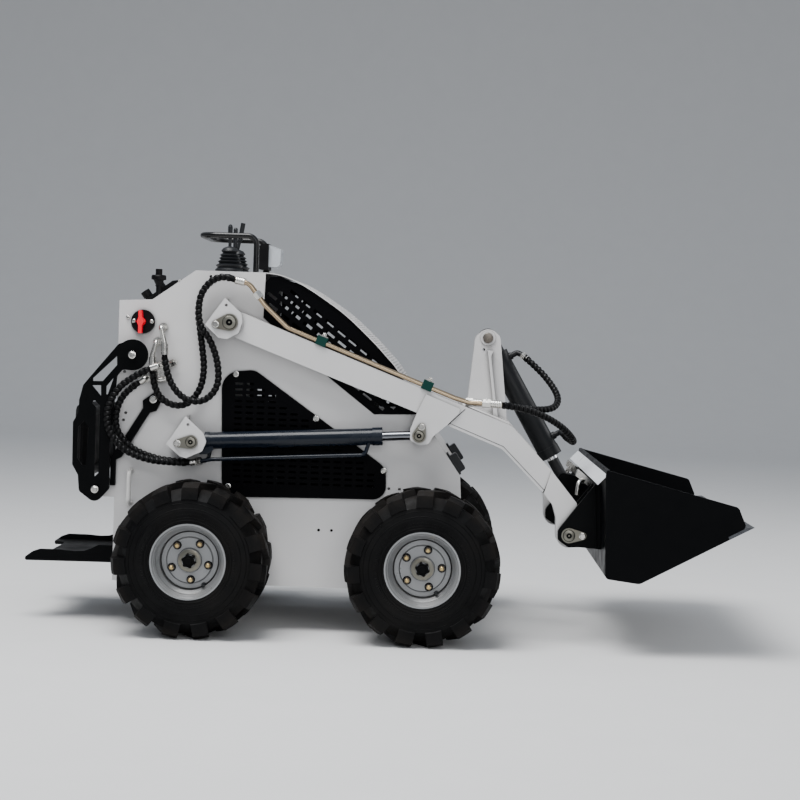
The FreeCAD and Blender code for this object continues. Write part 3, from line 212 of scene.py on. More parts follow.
def painted(name, colour, rough, coat=0.0, dust=0.25, peel=0.15, metallic=0.0, shine=0.5,
            dirt=(0.45, 0.40, 0.33), corner_shade=0.0):
    """Sprayed paint with slight orange peel, blotches, specks and dust on top faces, and painted shade in
    corners where asked.
    """
    mat, tree, shader = new_material(name)
    darker = tuple(c * 0.93 for c in colour)
    base = mix_colour(tree, spread(tree, noise(tree, 3.5, 3.0), 0.0, 1.0, 0.3, 0.7), darker, colour)
    specks = spread(tree, noise(tree, 55.0, 5.0, 0.7), 0.0, 0.10, 0.60, 0.72)
    base = mix_colour(tree, specks, base, tuple(c * 0.7 for c in dirt))
    settle = combine(tree, "MULTIPLY", upward(tree), noise(tree, 12.0, 6.0, 0.65))
    base = mix_colour(tree, combine(tree, "MULTIPLY", settle, dust), base, dirt)
    # Painted shade in corners and between parts.
    if corner_shade:
        base = crevice_shade(tree, base, corner_shade)
    tree.links.new(base, shader.inputs["Base Color"])
    tree.links.new(spread(tree, noise(tree, 18.0, 4.0), rough - 0.07, rough + 0.10, 0.25, 0.75),
                   shader.inputs["Roughness"])
    set_inputs(shader, Metallic=metallic, Specular_IOR_Level=shine, Coat_Weight=coat, Coat_Roughness=0.12)
    add_bump(tree, shader, noise(tree, 420.0, 2.0), peel, 0.0004)
    return mat


def metal(name, colour, rough, stain=0.2, stain_colour=(0.25, 0.2, 0.14)):
    """Bare or plated metal with fine marks and light stains."""
    mat, tree, shader = new_material(name)
    marks = spread(tree, noise(tree, 30.0, 5.0, 0.65), 0.0, stain, 0.45, 0.75)
    tree.links.new(mix_colour(tree, marks, colour, stain_colour), shader.inputs["Base Color"])
    set_inputs(shader, Metallic=1.0)
    tree.links.new(spread(tree, noise(tree, 90.0, 4.0, 0.6), rough * 0.7, rough * 1.4, 0.2, 0.8),
                   shader.inputs["Roughness"])
    add_bump(tree, shader, noise(tree, 350.0, 3.0, 0.6), 0.12, 0.0003)
    return mat


def rubber(name, colour, dusty, amount, rough, shine, grain=240.0, bump=0.35):
    """Rubber or moulded plastic with fine grain and dust in clouds."""
    mat, tree, shader = new_material(name)
    factor = spread(tree, noise(tree, 9.0, 6.0, 0.65), 0.0, amount, 0.35, 0.7)
    tree.links.new(mix_colour(tree, factor, colour, dusty), shader.inputs["Base Color"])
    tree.links.new(spread(tree, noise(tree, 25.0, 4.0), rough - 0.08, rough + 0.12, 0.25, 0.75),
                   shader.inputs["Roughness"])
    set_inputs(shader, Specular_IOR_Level=shine)
    add_bump(tree, shader, noise(tree, grain, 5.0, 0.6), bump, 0.0006)
    return mat


def round_place(tree, centre):
    """Distance from a wheel's axis and the angle about it."""
    axes = axes_of(tree, own_place(tree))
    x = combine(tree, "SUBTRACT", axes["X"], centre.x)
    z = combine(tree, "SUBTRACT", axes["Z"], centre.z)
    squares = combine(tree, "ADD", combine(tree, "MULTIPLY", x, x), combine(tree, "MULTIPLY", z, z))
    return combine(tree, "SQRT", squares), combine(tree, "ARCTAN2", z, x)


# Moulding on a tyre's wall, and where the dust on its lugs sets in, as radii in metres
RIM_BAND = (0.1185, 0.1225)
WALL_RINGS = ((0.1290, 0.1305), (0.1560, 0.1580), (0.1720, 0.1732))
RIB_BAND = (0.1340, 0.1400)
RIB_COUNT = 120.0
LUG_DUST = (0.188, 0.222)


def tyre_rubber(name, centre):
    """Tyre rubber with moulded rings and ribs on the wall and dust on the lugs."""
    mat, tree, shader = new_material(name)
    radius, angle = round_place(tree, centre)
    cloud = noise(tree, 14.0, 6.0, 0.7)
    lugs = spread(tree, radius, 0.0, 1.0, *LUG_DUST)
    dust = combine(tree, "MULTIPLY", lugs, spread(tree, cloud, 0.05, 0.60, 0.35, 0.65))
    wall = mix_colour(tree, spread(tree, noise(tree, 7.0, 4.0), 0.0, 0.5, 0.45, 0.75),
                      (0.0012, 0.0012, 0.0014), (0.0090, 0.0080, 0.0072))
    tree.links.new(mix_colour(tree, combine(tree, "MULTIPLY", dust, 0.5), wall, (0.020, 0.016, 0.013)),
                   shader.inputs["Base Color"])
    tree.links.new(spread(tree, cloud, 0.42, 0.80, 0.3, 0.7), shader.inputs["Roughness"])
    set_inputs(shader, Specular_IOR_Level=0.10)
    rings = band(tree, radius, *RIM_BAND, 0.0010)
    for low, high in WALL_RINGS:
        rings = combine(tree, "ADD", rings, band(tree, radius, low, high, 0.0006))
    wave = combine(tree, "SINE", combine(tree, "MULTIPLY", angle, RIB_COUNT))
    ribs = combine(tree, "MULTIPLY", band(tree, radius, *RIB_BAND, 0.0006),
                   spread(tree, wave, 0.0, 0.5, -0.4, 0.4))
    add_bump(tree, shader, noise(tree, 260.0, 5.0, 0.65), 0.35, 0.0006)
    add_bump(tree, shader, noise(tree, 38.0, 4.0, 0.6), 0.5, 0.0040)
    add_bump(tree, shader, combine(tree, "ADD", rings, ribs), 1.0, 0.0024)
    return mat


def clear_lens():
    """Clear moulded lens with upright flutes."""
    mat, tree, shader = new_material("clear_lens")
    set_inputs(shader, Base_Color=(0.74, 0.78, 0.82, 1.0), Transmission_Weight=0.55, IOR=1.45)
    tree.links.new(spread(tree, noise(tree, 60.0, 3.0), 0.03, 0.10), shader.inputs["Roughness"])
    across = axes_of(tree, own_place(tree))["Y"]
    flutes = combine(tree, "SINE", combine(tree, "MULTIPLY", across, 900.0))
    add_bump(tree, shader, flutes, 0.5, 0.0012)
    add_bump(tree, shader, noise(tree, 90.0, 2.0), 0.3, 0.001)
    return mat


# The tilt cylinder's upper pin, the x and z of its direction, and how far from the pin the bright rod goes
TILT_PIN = at(864, 0, 912)
TILT_RUN = (0.50243, -0.86462)
BRIGHT_LENGTH = 0.4370


def tilt_rod_end():
    """Bright steel up to a line across the rod's axis and black forging beyond it."""
    mat, tree, shader = new_material("tilt_rod_end")
    axes = axes_of(tree, own_place(tree))
    shares = []
    for axis, pin, run in (("X", TILT_PIN.x, TILT_RUN[0]), ("Z", TILT_PIN.z, TILT_RUN[1])):
        beyond = combine(tree, "SUBTRACT", axes[axis], pin + BRIGHT_LENGTH * run)
        shares.append(combine(tree, "MULTIPLY", beyond, run))
    bright = spread(tree, combine(tree, "ADD", *shares), 1.0, 0.0, -0.0005, 0.0005)
    tree.links.new(mix_colour(tree, bright, (0.006, 0.006, 0.007), (0.80, 0.80, 0.80)),
                   shader.inputs["Base Color"])
    tree.links.new(bright, shader.inputs["Metallic"])
    clouds = combine(tree, "MULTIPLY", noise(tree, 40.0), 0.10)
    tree.links.new(combine(tree, "ADD", spread(tree, bright, 0.42, 0.10), clouds), shader.inputs["Roughness"])
    set_inputs(shader, Specular_IOR_Level=0.3)
    add_bump(tree, shader, noise(tree, 300.0, 3.0), 0.12, 0.0004)
    return mat


BLACK_DUST = (0.010, 0.009, 0.008)
# The white paint and the rim silver are darkened in their corners by painted shade.
WHITE_PAINT = painted("white_paint", (0.57, 0.563, 0.56), 0.40, coat=0.15, corner_shade=0.75)
BLACK_PAINT = painted("black_paint", (0.0014, 0.0016, 0.0019), 0.40, dust=0.35, shine=0.06, dirt=BLACK_DUST)
BUCKET_PAINT = painted("bucket_paint", (0.0012, 0.0014, 0.0018), 0.36, dust=0.30, shine=0.05,
                       dirt=BLACK_DUST)
MESH_BLACK = painted("mesh_black", (0.0012, 0.0012, 0.0018), 0.5, dust=0.2, shine=0.04, dirt=BLACK_DUST)
RIM_SILVER = painted("rim_silver", (0.25, 0.255, 0.26), 0.34, coat=0.1, dust=0.15, metallic=0.5, corner_shade=0.6)
HANDLE_PAINT = painted("handle_paint", (0.0016, 0.0018, 0.0022), 0.26, dust=0.1, shine=0.35, dirt=BLACK_DUST)
# The bucket lip's paint is lighter than the white paint elsewhere: a painted sheen of the sky it faces.
LIP_PAINT_AND_SHEEN = painted("lip_paint_and_sheen", (0.74, 0.76, 0.79), 0.34, coat=0.2)
EDGE_STEEL = metal("edge_steel", (0.10, 0.105, 0.115), 0.28, stain=0.5, stain_colour=(0.01, 0.01, 0.01))
SLATE_BARREL = painted("slate_barrel", (0.0035, 0.0065, 0.0125), 0.24, coat=0.05, dust=0.06, shine=0.22,
                       dirt=(0.06, 0.06, 0.06))
CHARCOAL_BARREL = painted("charcoal_barrel", (0.0060, 0.0066, 0.0076), 0.40, dust=0.10, shine=0.2,
                          dirt=(0.05, 0.05, 0.05))
CAST = painted("cast_black", (0.0020, 0.0020, 0.0022), 0.6, dust=0.3, peel=0.5, shine=0.06, dirt=BLACK_DUST)
CHROME = metal("chrome", (0.17, 0.175, 0.19), 0.08, stain=0.03)
REFLECTOR = metal("lamp_reflector", (0.60, 0.61, 0.64), 0.12, stain=0.05)
ZINC = metal("zinc", (0.60, 0.59, 0.56), 0.22)
PIN_STEEL = metal("pin_steel", (0.15, 0.135, 0.12), 0.42, stain=0.4)
KEEPER_STEEL = metal("keeper_steel", (0.18, 0.175, 0.15), 0.40, stain=0.35)
YELLOW_ZINC = metal("yellow_zinc", (0.58, 0.43, 0.20), 0.28, stain=0.25)
DARK_STEEL = metal("dark_steel", (0.10, 0.09, 0.08), 0.45, stain=0.4)
PIPE = metal("pipe", (0.38, 0.29, 0.19), 0.20, stain=0.2)
TYRE_RUBBER = {end: tyre_rubber(end + "_tyre_rubber", at(x, 0, HUB_HEIGHT)) for end, x in AXLES.items()}
SOFT_RUBBER = rubber("soft_rubber", (0.0058, 0.0068, 0.0085), (0.016, 0.017, 0.019), 0.3, 0.42, 0.30)
HOSE_RUBBER = rubber("hose_rubber", (0.0014, 0.0014, 0.0017), (0.006, 0.006, 0.005), 0.25, 0.5, 0.08)
WRAP_PLASTIC = rubber("wrap_plastic", (0.0016, 0.0016, 0.0020), (0.007, 0.0065, 0.006), 0.25, 0.34, 0.16,
                      grain=300.0, bump=0.15)
PAD_VINYL = rubber("pad_vinyl", (0.0022, 0.0022, 0.0026), (0.010, 0.010, 0.010), 0.15, 0.5, 0.12,
                   grain=160.0, bump=0.5)
BLACK_PLASTIC = rubber("black_plastic", (0.0022, 0.0022, 0.0028), (0.010, 0.010, 0.010), 0.15, 0.42, 0.12,
                       grain=300.0, bump=0.2)
GREEN_PLASTIC = rubber("green_plastic", (0.0008, 0.030, 0.024), (0.010, 0.034, 0.030), 0.25, 0.5, 0.12)
RED_PLASTIC = rubber("red_plastic", (0.92, 0.002, 0.026), (0.70, 0.010, 0.030), 0.2, 0.35, 0.06)
WHITE_ROD = painted("white_rod", (0.58, 0.573, 0.555), 0.4, coat=0.2)
LENS = clear_lens()
ROD_END = tilt_rod_end()

FINISH = (
    (WHITE_PAINT, "side_plate_left side_plate_right lower_tub top_deck hood_grille pivot_brackets"
                  " arm_left arm_right cross_beam tilt_tower"),
    (BLACK_PAINT, "rear_guard step_platform coupler_frame"), (HANDLE_PAINT, "handlebar"),
    (BUCKET_PAINT, "bucket"), (EDGE_STEEL, "bucket_edge"), (LIP_PAINT_AND_SHEEN, "bucket_lip"),
    (MESH_BLACK, "hood_sides side_grilles"),
    (CAST, "engine_block wheel_motors"), (SOFT_RUBBER, "control_levers bump_stops"),
    (BLACK_PLASTIC, "work_lamp isolator_switch console_panel"), (LENS, "lamp_lens"),
    (RED_PLASTIC, "isolator_key"), (WHITE_ROD, "tie_down_loops"), (PAD_VINYL, "thigh_pad"),
    (ZINC, "hose_fittings coupler_latches"), (KEEPER_STEEL, "arm_pins"), (PIPE, "arm_pipes"),
    (GREEN_PLASTIC, "pipe_clamps"), (CHARCOAL_BARREL, "tilt_barrel"), (ROD_END, "tilt_rod"),
    (SLATE_BARREL, "lift_barrel_left lift_barrel_right"), (CHROME, "lift_rod_left lift_rod_right"),
    (TYRE_RUBBER["front"], "tyre_front_left tyre_front_right"),
    (TYRE_RUBBER["rear"], "tyre_rear_left tyre_rear_right"),
    (RIM_SILVER, "rim_front_left rim_front_right rim_rear_left rim_rear_right"
                 " wheel_disc_front_left wheel_disc_front_right wheel_disc_rear_left wheel_disc_rear_right"))


def finish_nodes():
    """Give every node its finish; the hoses' solids, which are replaced, are the ones not in the table."""
    chosen = {name: mat for mat, names in FINISH for name in names.split()}
    for name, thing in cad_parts.items():
        mat = chosen.get(name, HOSE_RUBBER)
        if not thing.material_slots:
            thing.data.materials.append(mat)
        for entry in thing.material_slots:
            entry.material = mat


finish_nodes()


# Making pieces

# Weld beads: the step between their scales in metres, how their width swings from one scale to the
# next, and how much it scatters
WELD_STEP = 0.0022
WELD_SWING = 2.1
WELD_SCATTER = 0.08


def ring_of(centre, side, other, radius, count=8):
    """Points of a circle about a centre, in the plane of two directions."""
    angles = [2 * math.pi * i / count for i in range(count)]
    return [centre + (side * math.cos(t) + other * math.sin(t)) * radius for t in angles]


class Gathered:
    """Points and faces gathered for one joined piece."""

    def __init__(self):
        self.points = []
        self.faces = []

    def add(self, points, faces):
        """Add a form of its own points and faces."""
        start = len(self.points)
        self.points += [Vector(p) for p in points]
        self.faces += [tuple(start + i for i in face) for face in faces]

    def sweep(self, rings):
        """Closed skin over rings of points, one ring for each place along a line."""
        size = len(rings[0])
        faces = []
        for row in range(len(rings) - 1):
            for i in range(size):
                a, b = row * size + i, row * size + (i + 1) % size
                faces.append((a, b, b + size, a + size))
        faces.append(tuple(range(size))[::-1])
        faces.append(tuple((len(rings) - 1) * size + i for i in range(size)))
        self.add([p for ring in rings for p in ring], faces)

    def lathe(self, place, axis, profile, sides=24):
        """Form turned about an axis from (radius, height) pairs in millimetres."""
        lift = Vector(axis).normalized()
        side = lift.orthogonal().normalized()
        other = lift.cross(side)
        self.sweep([ring_of(place + lift * height / 1000, side, other, radius / 1000, sides)
                    for radius, height in profile])

    def bolt(self, place, axis, size, height=0.0, washer=0.0):
        """Hexagon head of a given half width over its washer."""
        head = height or size * 0.62
        if washer:
            self.lathe(place, axis, [(washer, 0), (washer, 1.6), (washer - 0.6, 2.0)])
            place = place + Vector(axis).normalized() * 0.0018
        reach = size / math.cos(math.pi / 6)
        self.lathe(place, axis, [(reach, 0), (reach, head * 0.82), (reach * 0.86, head)], 6)

    def slab(self, outline, y0, y1):
        """Plate between two y planes cut to an x, z outline in millimetres."""
        self.sweep([[at(x, y, z) for x, z in outline] for y in (y0, y1)])

    def bead(self, points, radius, rough=0.25):
        """Weld bead: a low ridge of small overlapping scales along straight runs."""
        path = [at(*p) for p in points]
        rings = []
        for a, b in zip(path, path[1:]):
            run = b - a
            steps = int(run.length / WELD_STEP)
            side = run.orthogonal().normalized()
            other = run.normalized().cross(side)
            for k in range(steps + 1):
                swell = rough * math.sin(k * WELD_SWING) + WELD_SCATTER * random.uniform(-1, 1)
                size = radius / 1000 * (1 + swell)
                rings.append(ring_of(a + run * k / steps, side, other, size))
        self.sweep(rings)

    def piece(self, name, mat, body=None, sharp=34.0):
        """Finished object, riding on a body if one is named, with edges over the sharp angle kept."""
        data = bpy.data.meshes.new(name)
        data.from_pydata(self.points, [], self.faces)
        data.update()
        form = bmesh.new()
        form.from_mesh(data)
        bmesh.ops.recalc_face_normals(form, faces=form.faces)
        form.to_mesh(data)
        form.free()
        data.shade_smooth()
        data.set_sharp_from_angle(angle=math.radians(sharp))
        data.materials.append(mat)
        thing = new_object(name, data)
        if body:
            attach(thing, body)
        return thing


def lengths_along(points):
    """Length from the start of a line to each of its points."""
    lengths = [0.0]
    for a, b in zip(points, points[1:]):
        lengths.append(lengths[-1] + (b - a).length)
    return lengths


def step_at(lengths, along):
    """Number of the step that holds a length along a line, and how much of the step it passes."""
    i = min(len(lengths) - 2, bisect.bisect_right(lengths, along) - 1)
    return i, (along - lengths[i]) / max(1e-9, lengths[i + 1] - lengths[i])


# Hoses

HOSES = {
    # route in millimetres, then length in metres and the two bodies it joins
    "arm_hose_outer": ([
        (-110, -345, 830), (-104, -345, 768), (-57, -345, 700), (8, -345, 688), (55, -345, 736),
        (52, -345, 812), (26, -345, 880), (-6, -345, 918), (-13, -345, 966), (-6, -345, 1020),
        (26, -345, 1060), (66, -345, 1072), (96.5, -345, 1060)], 0.683, "chassis", "arms"),
    "arm_hose_inner": ([
        (-149, -320, 787.5), (-146, -320, 727), (-103, -320, 680), (-44, -320, 676), (-2, -320, 726),
        (8, -320, 790), (0, -320, 850), (-9, -320, 908), (-18, -320, 966), (-8, -320, 1022),
        (24, -320, 1060), (66, -320, 1072), (96.5, -320, 1060)], 0.660, "chassis", "arms"),
    "lift_hose_outer": ([
        (-150.5, -345, 787.7), (-222, -345, 754), (-272, -345, 690), (-282, -345, 615),
        (-240, -345, 546), (-165, -343, 514), (-92, -341, 506), (-24.5, -341, 508)], 0.526,
        "chassis", "lift_barrel_right"),
    "lift_hose_inner": ([
        (-186, -320, 745), (-228, -318, 718), (-256, -316, 664), (-258, -316, 602),
        (-218, -316, 549), (-155, -316, 521), (-88, -316, 508), (-24.5, -316, 508)], 0.428,
        "chassis", "lift_barrel_right"),
    "tilt_hose_outer": ([
        (1115, -22, 612.5), (1139.5, -73, 592), (1140, -135, 603), (1106, -196, 640),
        (1056, -248, 672), (1004, -294, 694), (953, -330, 707), (905, -345, 714)], 0.464,
        "tilt_barrel", "arms"),
    "tilt_hose_inner": ([
        (975, -12, 862), (1024, -34, 822), (1066, -68, 776), (1090, -120, 732), (1074, -176, 702),
        (1022, -224, 697), (962, -264, 703), (906, -304, 711), (846.5, -320, 716)], 0.544,
        "tilt_barrel", "arms")}
HOSE_RADIUS = 0.0085
# The spiral wrap: its pitch, how far from the hose's ends it stays, the steps in a turn, and its
# section as (along, out) pairs from the hose's surface. Ties sit a little way from the ends.
WRAP_PITCH = 0.0155
WRAP_MARGIN = 0.010
WRAP_STEPS = 20
WRAP_SECTION = ((-0.0054, -0.0004), (-0.0050, 0.0012), (-0.0025, 0.0021), (0.0025, 0.0021),
                (0.0050, 0.0012), (0.0054, -0.0004))
TIE_PLACE = 0.022


def spline_line(curve):
    """Points of a route's spline, in order."""
    mesh = bpy.data.meshes.new_from_object(curve)
    points = [v.co.copy() for v in mesh.vertices]
    bpy.data.meshes.remove(mesh)
    return points


def frames_along(points):
    """Lengths along a line, directions square to it that turn smoothly, and its own directions."""
    sides, runs = [], []
    for i in range(len(points)):
        run = (points[min(i + 1, len(points) - 1)] - points[max(i - 1, 0)]).normalized()
        side = sides[-1] - sides[-1].dot(run) * run if sides else run.orthogonal()
        sides.append(side.normalized())
        runs.append(run)
    return lengths_along(points), sides, runs


def place_along(points, frames, along):
    """Point, side direction and own direction at a length along a line."""
    lengths, sides, runs = frames
    i, share = step_at(lengths, along)
    side = sides[i].lerp(sides[i + 1], share).normalized()
    run = runs[i].lerp(runs[i + 1], share).normalized()
    side = (side - side.dot(run) * run).normalized()
    return points[i].lerp(points[i + 1], share), side, run


def spiral_wrap(name, points, frames):
    """Flat plastic band wound along a hose, with small gaps between its turns."""
    covered = frames[0][-1] - 2 * WRAP_MARGIN
    steps = int(covered / WRAP_PITCH * WRAP_STEPS)
    rings = []
    for k in range(steps + 1):
        turn = 2 * math.pi * k / WRAP_STEPS
        ring = []
        for shift, height in WRAP_SECTION:
            spot, side, run = place_along(points, frames, WRAP_MARGIN + covered * k / steps + shift)
            out = side * math.cos(turn) + run.cross(side) * math.sin(turn)
            ring.append(spot + out * (HOSE_RADIUS + height))
        rings.append(ring)
    form = Gathered()
    form.sweep(rings)
    return form.piece(name, WRAP_PLASTIC, sharp=60.0)


def hose(name, route):
    """A hose as a smooth tube with its wrap and ties."""
    data = bpy.data.curves.new(name, "CURVE")
    data.dimensions = "3D"
    data.resolution_u = 14
    spline = data.splines.new("NURBS")
    spline.points.add(len(route) - 1)
    for point, place in zip(spline.points, route):
        point.co = (*at(*place), 1.0)
    spline.order_u = 3
    spline.use_endpoint_u = True
    curve = bpy.data.objects.new("route_" + name, data)
    points = spline_line(curve)
    data.bevel_depth = HOSE_RADIUS
    data.bevel_resolution = 5
    data.use_fill_caps = True
    skin = bpy.data.meshes.new_from_object(curve)
    bpy.data.objects.remove(curve)
    skin.shade_smooth()
    skin.materials.clear()
    skin.materials.append(HOSE_RUBBER)
    tube = new_object("cord_" + name, skin)
    frames = frames_along(points)
    wrap = spiral_wrap("wrap_" + name, points, frames)
    ties = Gathered()
    for along in (TIE_PLACE, frames[0][-1] - TIE_PLACE):
        spot, _, run = place_along(points, frames, along)
        ties.lathe(spot - run * 0.002, run, [(10.4, 0), (11.4, 0.4), (11.4, 3.6), (10.4, 4.0)])
    tie = ties.piece("ties_" + name, WRAP_PLASTIC)
    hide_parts(name)
    for thing in (tube, wrap, tie):
        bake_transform(thing)


for hose_name, (route, length, body_a, body_b) in HOSES.items():
    hose(hose_name, route)


# Hood skin with its round holes

HOOD_ARC = [(181.5, 1087), (227, 1081), (285, 1059), (353, 1019), (424, 970), (490, 912),
            (549, 853), (602, 789), (708.5, 613.5)]
HOOD_HALF_WIDTH = 296.0
HOOD_MARGIN = 16.0
HOOD_THICKNESS = 1.6
HOOD_EDGE_DEPTH = 2.4
HOOD_EDGE_CUTS = 90
HOLE_PITCH = 10.0
HOLE_RADIUS = 3.1


def hood_line():
    """Places about a millimetre apart along a smooth curve through the hood's arc."""
    arc = [Vector((x, 0, z)) for x, z in HOOD_ARC]
    places = []
    for i in range(len(arc) - 1):
        a, b = arc[max(0, i - 1)], arc[i]
        c, d = arc[i + 1], arc[min(len(arc) - 1, i + 2)]
        steps = int((c - b).length)
        for k in range(steps):
            t = k / steps
            places.append(0.5 * ((2 * b) + (c - a) * t + (2 * a - 5 * b + 4 * c - d) * t ** 2
                                 + (3 * b - a - 3 * c + d) * t ** 3))
    places.append(arc[-1])
    return places


def hood_skin():
    """Curved sheet with rows of round holes and plain margins."""
    line = hood_line()
    lengths = lengths_along(line)
    total = lengths[-1]
    skin = Gathered()

    def spot(along, y, depth):
        """Place on the sheet, or a depth below it."""
        i, share = step_at(lengths, along)
        run = (line[i + 1] - line[i]).normalized()
        place = line[i].lerp(line[i + 1], share) - Vector((-run.z, 0, run.x)) * depth
        return at(place.x, y, place.z)

    def strip(cuts, low, high, depth):
        """Plain faces between two y places, from cut to cut along the hood."""
        for a, b in zip(cuts, cuts[1:]):
            skin.add([spot(a, low, depth), spot(a, high, depth), spot(b, high, depth), spot(b, low, depth)],
                     [(0, 1, 2, 3)])

    rows = int((total - 2 * HOOD_MARGIN) / HOLE_PITCH)
    columns = int((2 * HOOD_HALF_WIDTH - 2 * HOOD_MARGIN) / HOLE_PITCH)
    start = (total - rows * HOLE_PITCH) / 2
    left = -columns * HOLE_PITCH / 2
    corners = ((-0.5, -0.5), (0.5, -0.5), (0.5, 0.5), (-0.5, 0.5))
    angles = [math.pi / 8 + k * math.pi / 4 + math.pi for k in range(8)]
    faces = []
    for k in range(4):
        faces.append((k, (k + 1) % 4, 4 + (2 * k + 2) % 8, 4 + (2 * k + 1) % 8))
        faces.append((k, 4 + (2 * k + 1) % 8, 4 + 2 * k))
    hole_rows = [start + row * HOLE_PITCH for row in range(rows + 1)]
    for depth in (0.0, HOOD_THICKNESS):
        for row in range(rows):
            for column in range(columns):
                s = start + (row + 0.5) * HOLE_PITCH
                y = left + (column + 0.5) * HOLE_PITCH
                points = [spot(s + a * HOLE_PITCH, y + b * HOLE_PITCH, depth) for a, b in corners]
                points += [spot(s + HOLE_RADIUS * math.cos(t), y + HOLE_RADIUS * math.sin(t), depth)
                           for t in angles]
                skin.add(points, faces)
        for low, high in ((-HOOD_HALF_WIDTH, left), (-left, HOOD_HALF_WIDTH)):
            strip(hole_rows, low, high, depth)
        for low, high in ((0.0, start), (start + rows * HOLE_PITCH, total)):
            cuts = [low + (high - low) * k / 4 for k in range(5)]
            strip(cuts, -HOOD_HALF_WIDTH, HOOD_HALF_WIDTH, depth)
    cuts = [total * k / HOOD_EDGE_CUTS for k in range(HOOD_EDGE_CUTS + 1)]
    for y in (-HOOD_HALF_WIDTH, HOOD_HALF_WIDTH):
        for a, b in zip(cuts, cuts[1:]):
            skin.add([spot(a, y, 0), spot(b, y, 0), spot(b, y, HOOD_EDGE_DEPTH), spot(a, y, HOOD_EDGE_DEPTH)],
                     [(0, 1, 2, 3)])
    thing = skin.piece("hood_skin", WHITE_PAINT, "chassis", 30.0)
    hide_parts("hood_grille")


hood_skin()


# Wheels

WHEEL_BOLT_CIRCLE = 57.0
BOLT_PHASE = {"front": 75.0, "rear": 59.0}
# Where each small piece on a wheel starts, in millimetres from the centre plane
SEATS = {"cup": 462.1, "nut": 467.5, "stud": 476.6, "ring": 474.1, "hub_nut": 475.6, "shaft": 493.5,
         "valve": 462.0}


def wheel_details():
    """Wheel nuts and studs, the ring, nut and end of the shaft and the valve of each wheel."""
    for end, x in AXLES.items():
        for word, side in (("left", 1), ("right", -1)):
            out = (0, side, 0)
            seat = {name: side * y for name, y in SEATS.items()}
            nuts, studs, dark, ring, valve = (Gathered() for _ in range(5))
            for i in range(5):
                angle = math.radians(BOLT_PHASE[end] + 72 * i)
                bolt_x = x + WHEEL_BOLT_CIRCLE * math.cos(angle)
                bolt_z = HUB_HEIGHT + WHEEL_BOLT_CIRCLE * math.sin(angle)
                dark.lathe(at(bolt_x, seat["cup"], bolt_z), out, [(12.6, 0), (12.6, 5.2), (11.4, 5.8)], 28)
                nuts.bolt(at(bolt_x, seat["nut"], bolt_z), out, 9.2, 9.2)
                studs.lathe(at(bolt_x, seat["stud"], bolt_z), out,
                            [(6.4, 0), (6.4, 0.9), (5.6, 1.4), (5.2, 4.2), (4.2, 5.0)], 20)
            ring.lathe(at(x, seat["ring"], HUB_HEIGHT), out,
                       [(33.4, -7), (33.4, 0.6), (31.6, 1.6), (20.6, 1.6)], 48)
            dark.bolt(at(x, seat["hub_nut"], HUB_HEIGHT), out, 19.3, 18.0)
            dark.lathe(at(x, seat["shaft"], HUB_HEIGHT), out,
                       [(11.0, 0), (11.0, 3.0), (9.6, 4.0), (4.0, 4.0)])
            valve.lathe(at(x + 43, seat["valve"], 159), out,
                        [(7.0, 0), (6.0, 5), (4.6, 6), (4.6, 20), (3.6, 22)], 16)
            body = "wheel_%s_%s" % (end, word)
            nuts.piece("nuts_" + body, DARK_STEEL, body)
            studs.piece("studs_" + body, YELLOW_ZINC, body)
            dark.piece("hub_" + body, CAST, body)
            ring.piece("ring_" + body, KEEPER_STEEL, body)
            valve.piece("valve_" + body, SOFT_RUBBER, body)


wheel_details()


# Bolts, keepers and nuts

def teardrop(pin, big, bolt, small, extra):
    """Outline of a keeper: two circles and the lines that touch both."""
    reach = math.hypot(bolt[0] - pin[0], bolt[1] - pin[1])
    heading = math.atan2(bolt[1] - pin[1], bolt[0] - pin[0])
    lean = math.acos((big - small) / reach)
    outline = []
    for centre, radius, low, high in ((pin, big + extra, lean, 2 * math.pi - lean),
                                      (bolt, small + extra, -lean, lean)):
        for k in range(17):
            angle = heading + low + (high - low) * k / 16
            outline.append((centre[0] + radius * math.cos(angle), centre[1] + radius * math.sin(angle)))
    return outline


KEEPERS = (
    # pin, radius of the keeper round it, bolt, y of the plate under the keeper, body, the pin's radius
    ((85, 933), 25, (44, 926), 370, "chassis", 19), ((-20, 572), 20, (-60, 567), 370, "chassis", 14),
    ((661, 613), 20, (668, 640), 355, "arms", 14), ((1117, 332), 22, (1157, 332), 370, "coupler", 16))
KEEPER_BOLT_END = 11


def keepers():
    """Zinc keepers with their bolts and the pin ends inside them, with a thin black ring of painted shade
    about the foot of each pin end.
    """
    for pin, big, bolt, y, body, inner in KEEPERS:
        plates, bright, dark = (Gathered() for _ in range(3))
        for side in (1, -1):
            out = (0, side, 0)
            outline = teardrop(pin, big, bolt, KEEPER_BOLT_END, 0.5)
            plates.slab(outline, side * (y + 0.2), side * (y + 5.4))
            bright.bolt(at(bolt[0], side * (y + 5), bolt[1]), out, 7.6, 8.2, 10.0)
            for form, height, profile, sides in (
                    (plates, 5, [(inner + 0.4, 0), (inner + 0.4, 3.4), (inner - 1.2, 4.4)], 32),
                    # A thin black ring about the foot of the pin end: painted shade.
                    (dark, 5.3, [(inner + 2.2, 0), (inner + 2.2, 0.4), (inner, 0.5)], 32),
                    (dark, 9.3, [(inner * 0.52, 0), (inner * 0.52, 0.4), (inner * 0.44, 0.6)], 24),
                    (plates, 9.8, [(2.6, 0), (2.6, 0.5), (1.8, 0.8)], 16)):
                form.lathe(at(pin[0], side * (y + height), pin[1]), out, profile, sides)
        tag = "%s_%d" % (body, pin[0])
        plates.piece("keepers_" + tag, KEEPER_STEEL, body)
        bright.piece("keeper_bolts_" + tag, ZINC, body)
        dark.piece("pin_shade_rings_and_centres_" + tag, CAST, body)


keepers()

